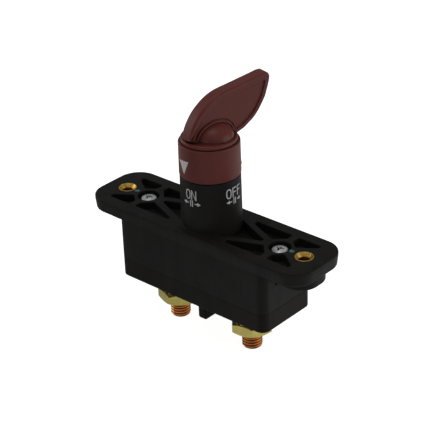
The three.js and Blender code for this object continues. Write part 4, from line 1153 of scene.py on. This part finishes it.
def soft_light(name, towards, distance, size, power, size_y=None, aim=(0, 0, 0.0), colour=(1, 1, 1)):
    """A soft light at that distance from aim, in the direction towards."""
    data = bpy.data.lights.new(name, "AREA")
    data.shape = "RECTANGLE"
    data.size, data.size_y = size, size_y or size
    data.energy = power
    data.color = colour
    o = bpy.data.objects.new(name, data)
    place = Vector(aim) + Vector(towards).normalized() * distance
    o.location = place
    o.rotation_euler = (place - Vector(aim)).to_track_quat("Z", "Y").to_euler()
    SCENE.collection.objects.link(o)
    return o


ground = floor()
lights = [
    soft_light("overhead", (-0.10, -0.10, 1.0), 0.9, 0.5, 0.75, 0.5),
    soft_light("side_left", (-0.95, -0.20, 0.22), 0.9, 0.5, 1.35, 0.7),
    soft_light("side_right", (0.86, 0.42, 0.16), 0.9, 0.8, 1.95, 0.7),
    soft_light("low_front", (-0.10, -0.98, -0.02), 0.9, 0.30, 0.35, 0.22, aim=(0, 0, -0.02)),
]
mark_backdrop(ground, *lights, camera)

world = bpy.data.worlds.new("surroundings")
SCENE.world = world
world.use_nodes = True
wt = world.node_tree
for n in list(wt.nodes):
    wt.nodes.remove(n)
wout = wt.nodes.new("ShaderNodeOutputWorld")
wbg = wt.nodes.new("ShaderNodeBackground")
wpath = wt.nodes.new("ShaderNodeLightPath")
wcoord = wt.nodes.new("ShaderNodeTexCoord")
wsep = wt.nodes.new("ShaderNodeSeparateXYZ")
wt.links.new(wcoord.outputs["Generated"], wsep.inputs[0])
wmap = wt.nodes.new("ShaderNodeMapRange")
wt.links.new(wsep.outputs["Z"], wmap.inputs["Value"])
for k, v in zip(("From Min", "From Max", "To Min", "To Max"), (0.0, 0.9, 0.17, 0.30)):
    wmap.inputs[k].default_value = v
wmix = wt.nodes.new("ShaderNodeMix")
wmix.data_type = "FLOAT"
wt.links.new(wpath.outputs["Is Camera Ray"], wmix.inputs[0])
wt.links.new(wmap.outputs["Result"], wmix.inputs[2])
wmix.inputs[3].default_value = 1.0
wt.links.new(wmix.outputs[0], wbg.inputs["Strength"])
wbg.inputs["Color"].default_value = (1, 1, 1, 1)
wt.links.new(wbg.outputs[0], wout.inputs["Surface"])

SCENE.view_settings.view_transform = "Standard"
SCENE.view_settings.look = "None"
SCENE.view_settings.exposure = 0.0
SCENE.view_settings.gamma = 1.0

END_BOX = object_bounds()


def plain(v):
    """Vectors, tuples and dictionaries as plain lists and numbers."""
    if isinstance(v, dict):
        return {k: plain(x) for k, x in v.items()}
    if isinstance(v, (int, float, str)) or v is None:
        return v
    return [plain(x) for x in v]


{"cad": plain(CAD_BOX), "finished": plain(END_BOX)}
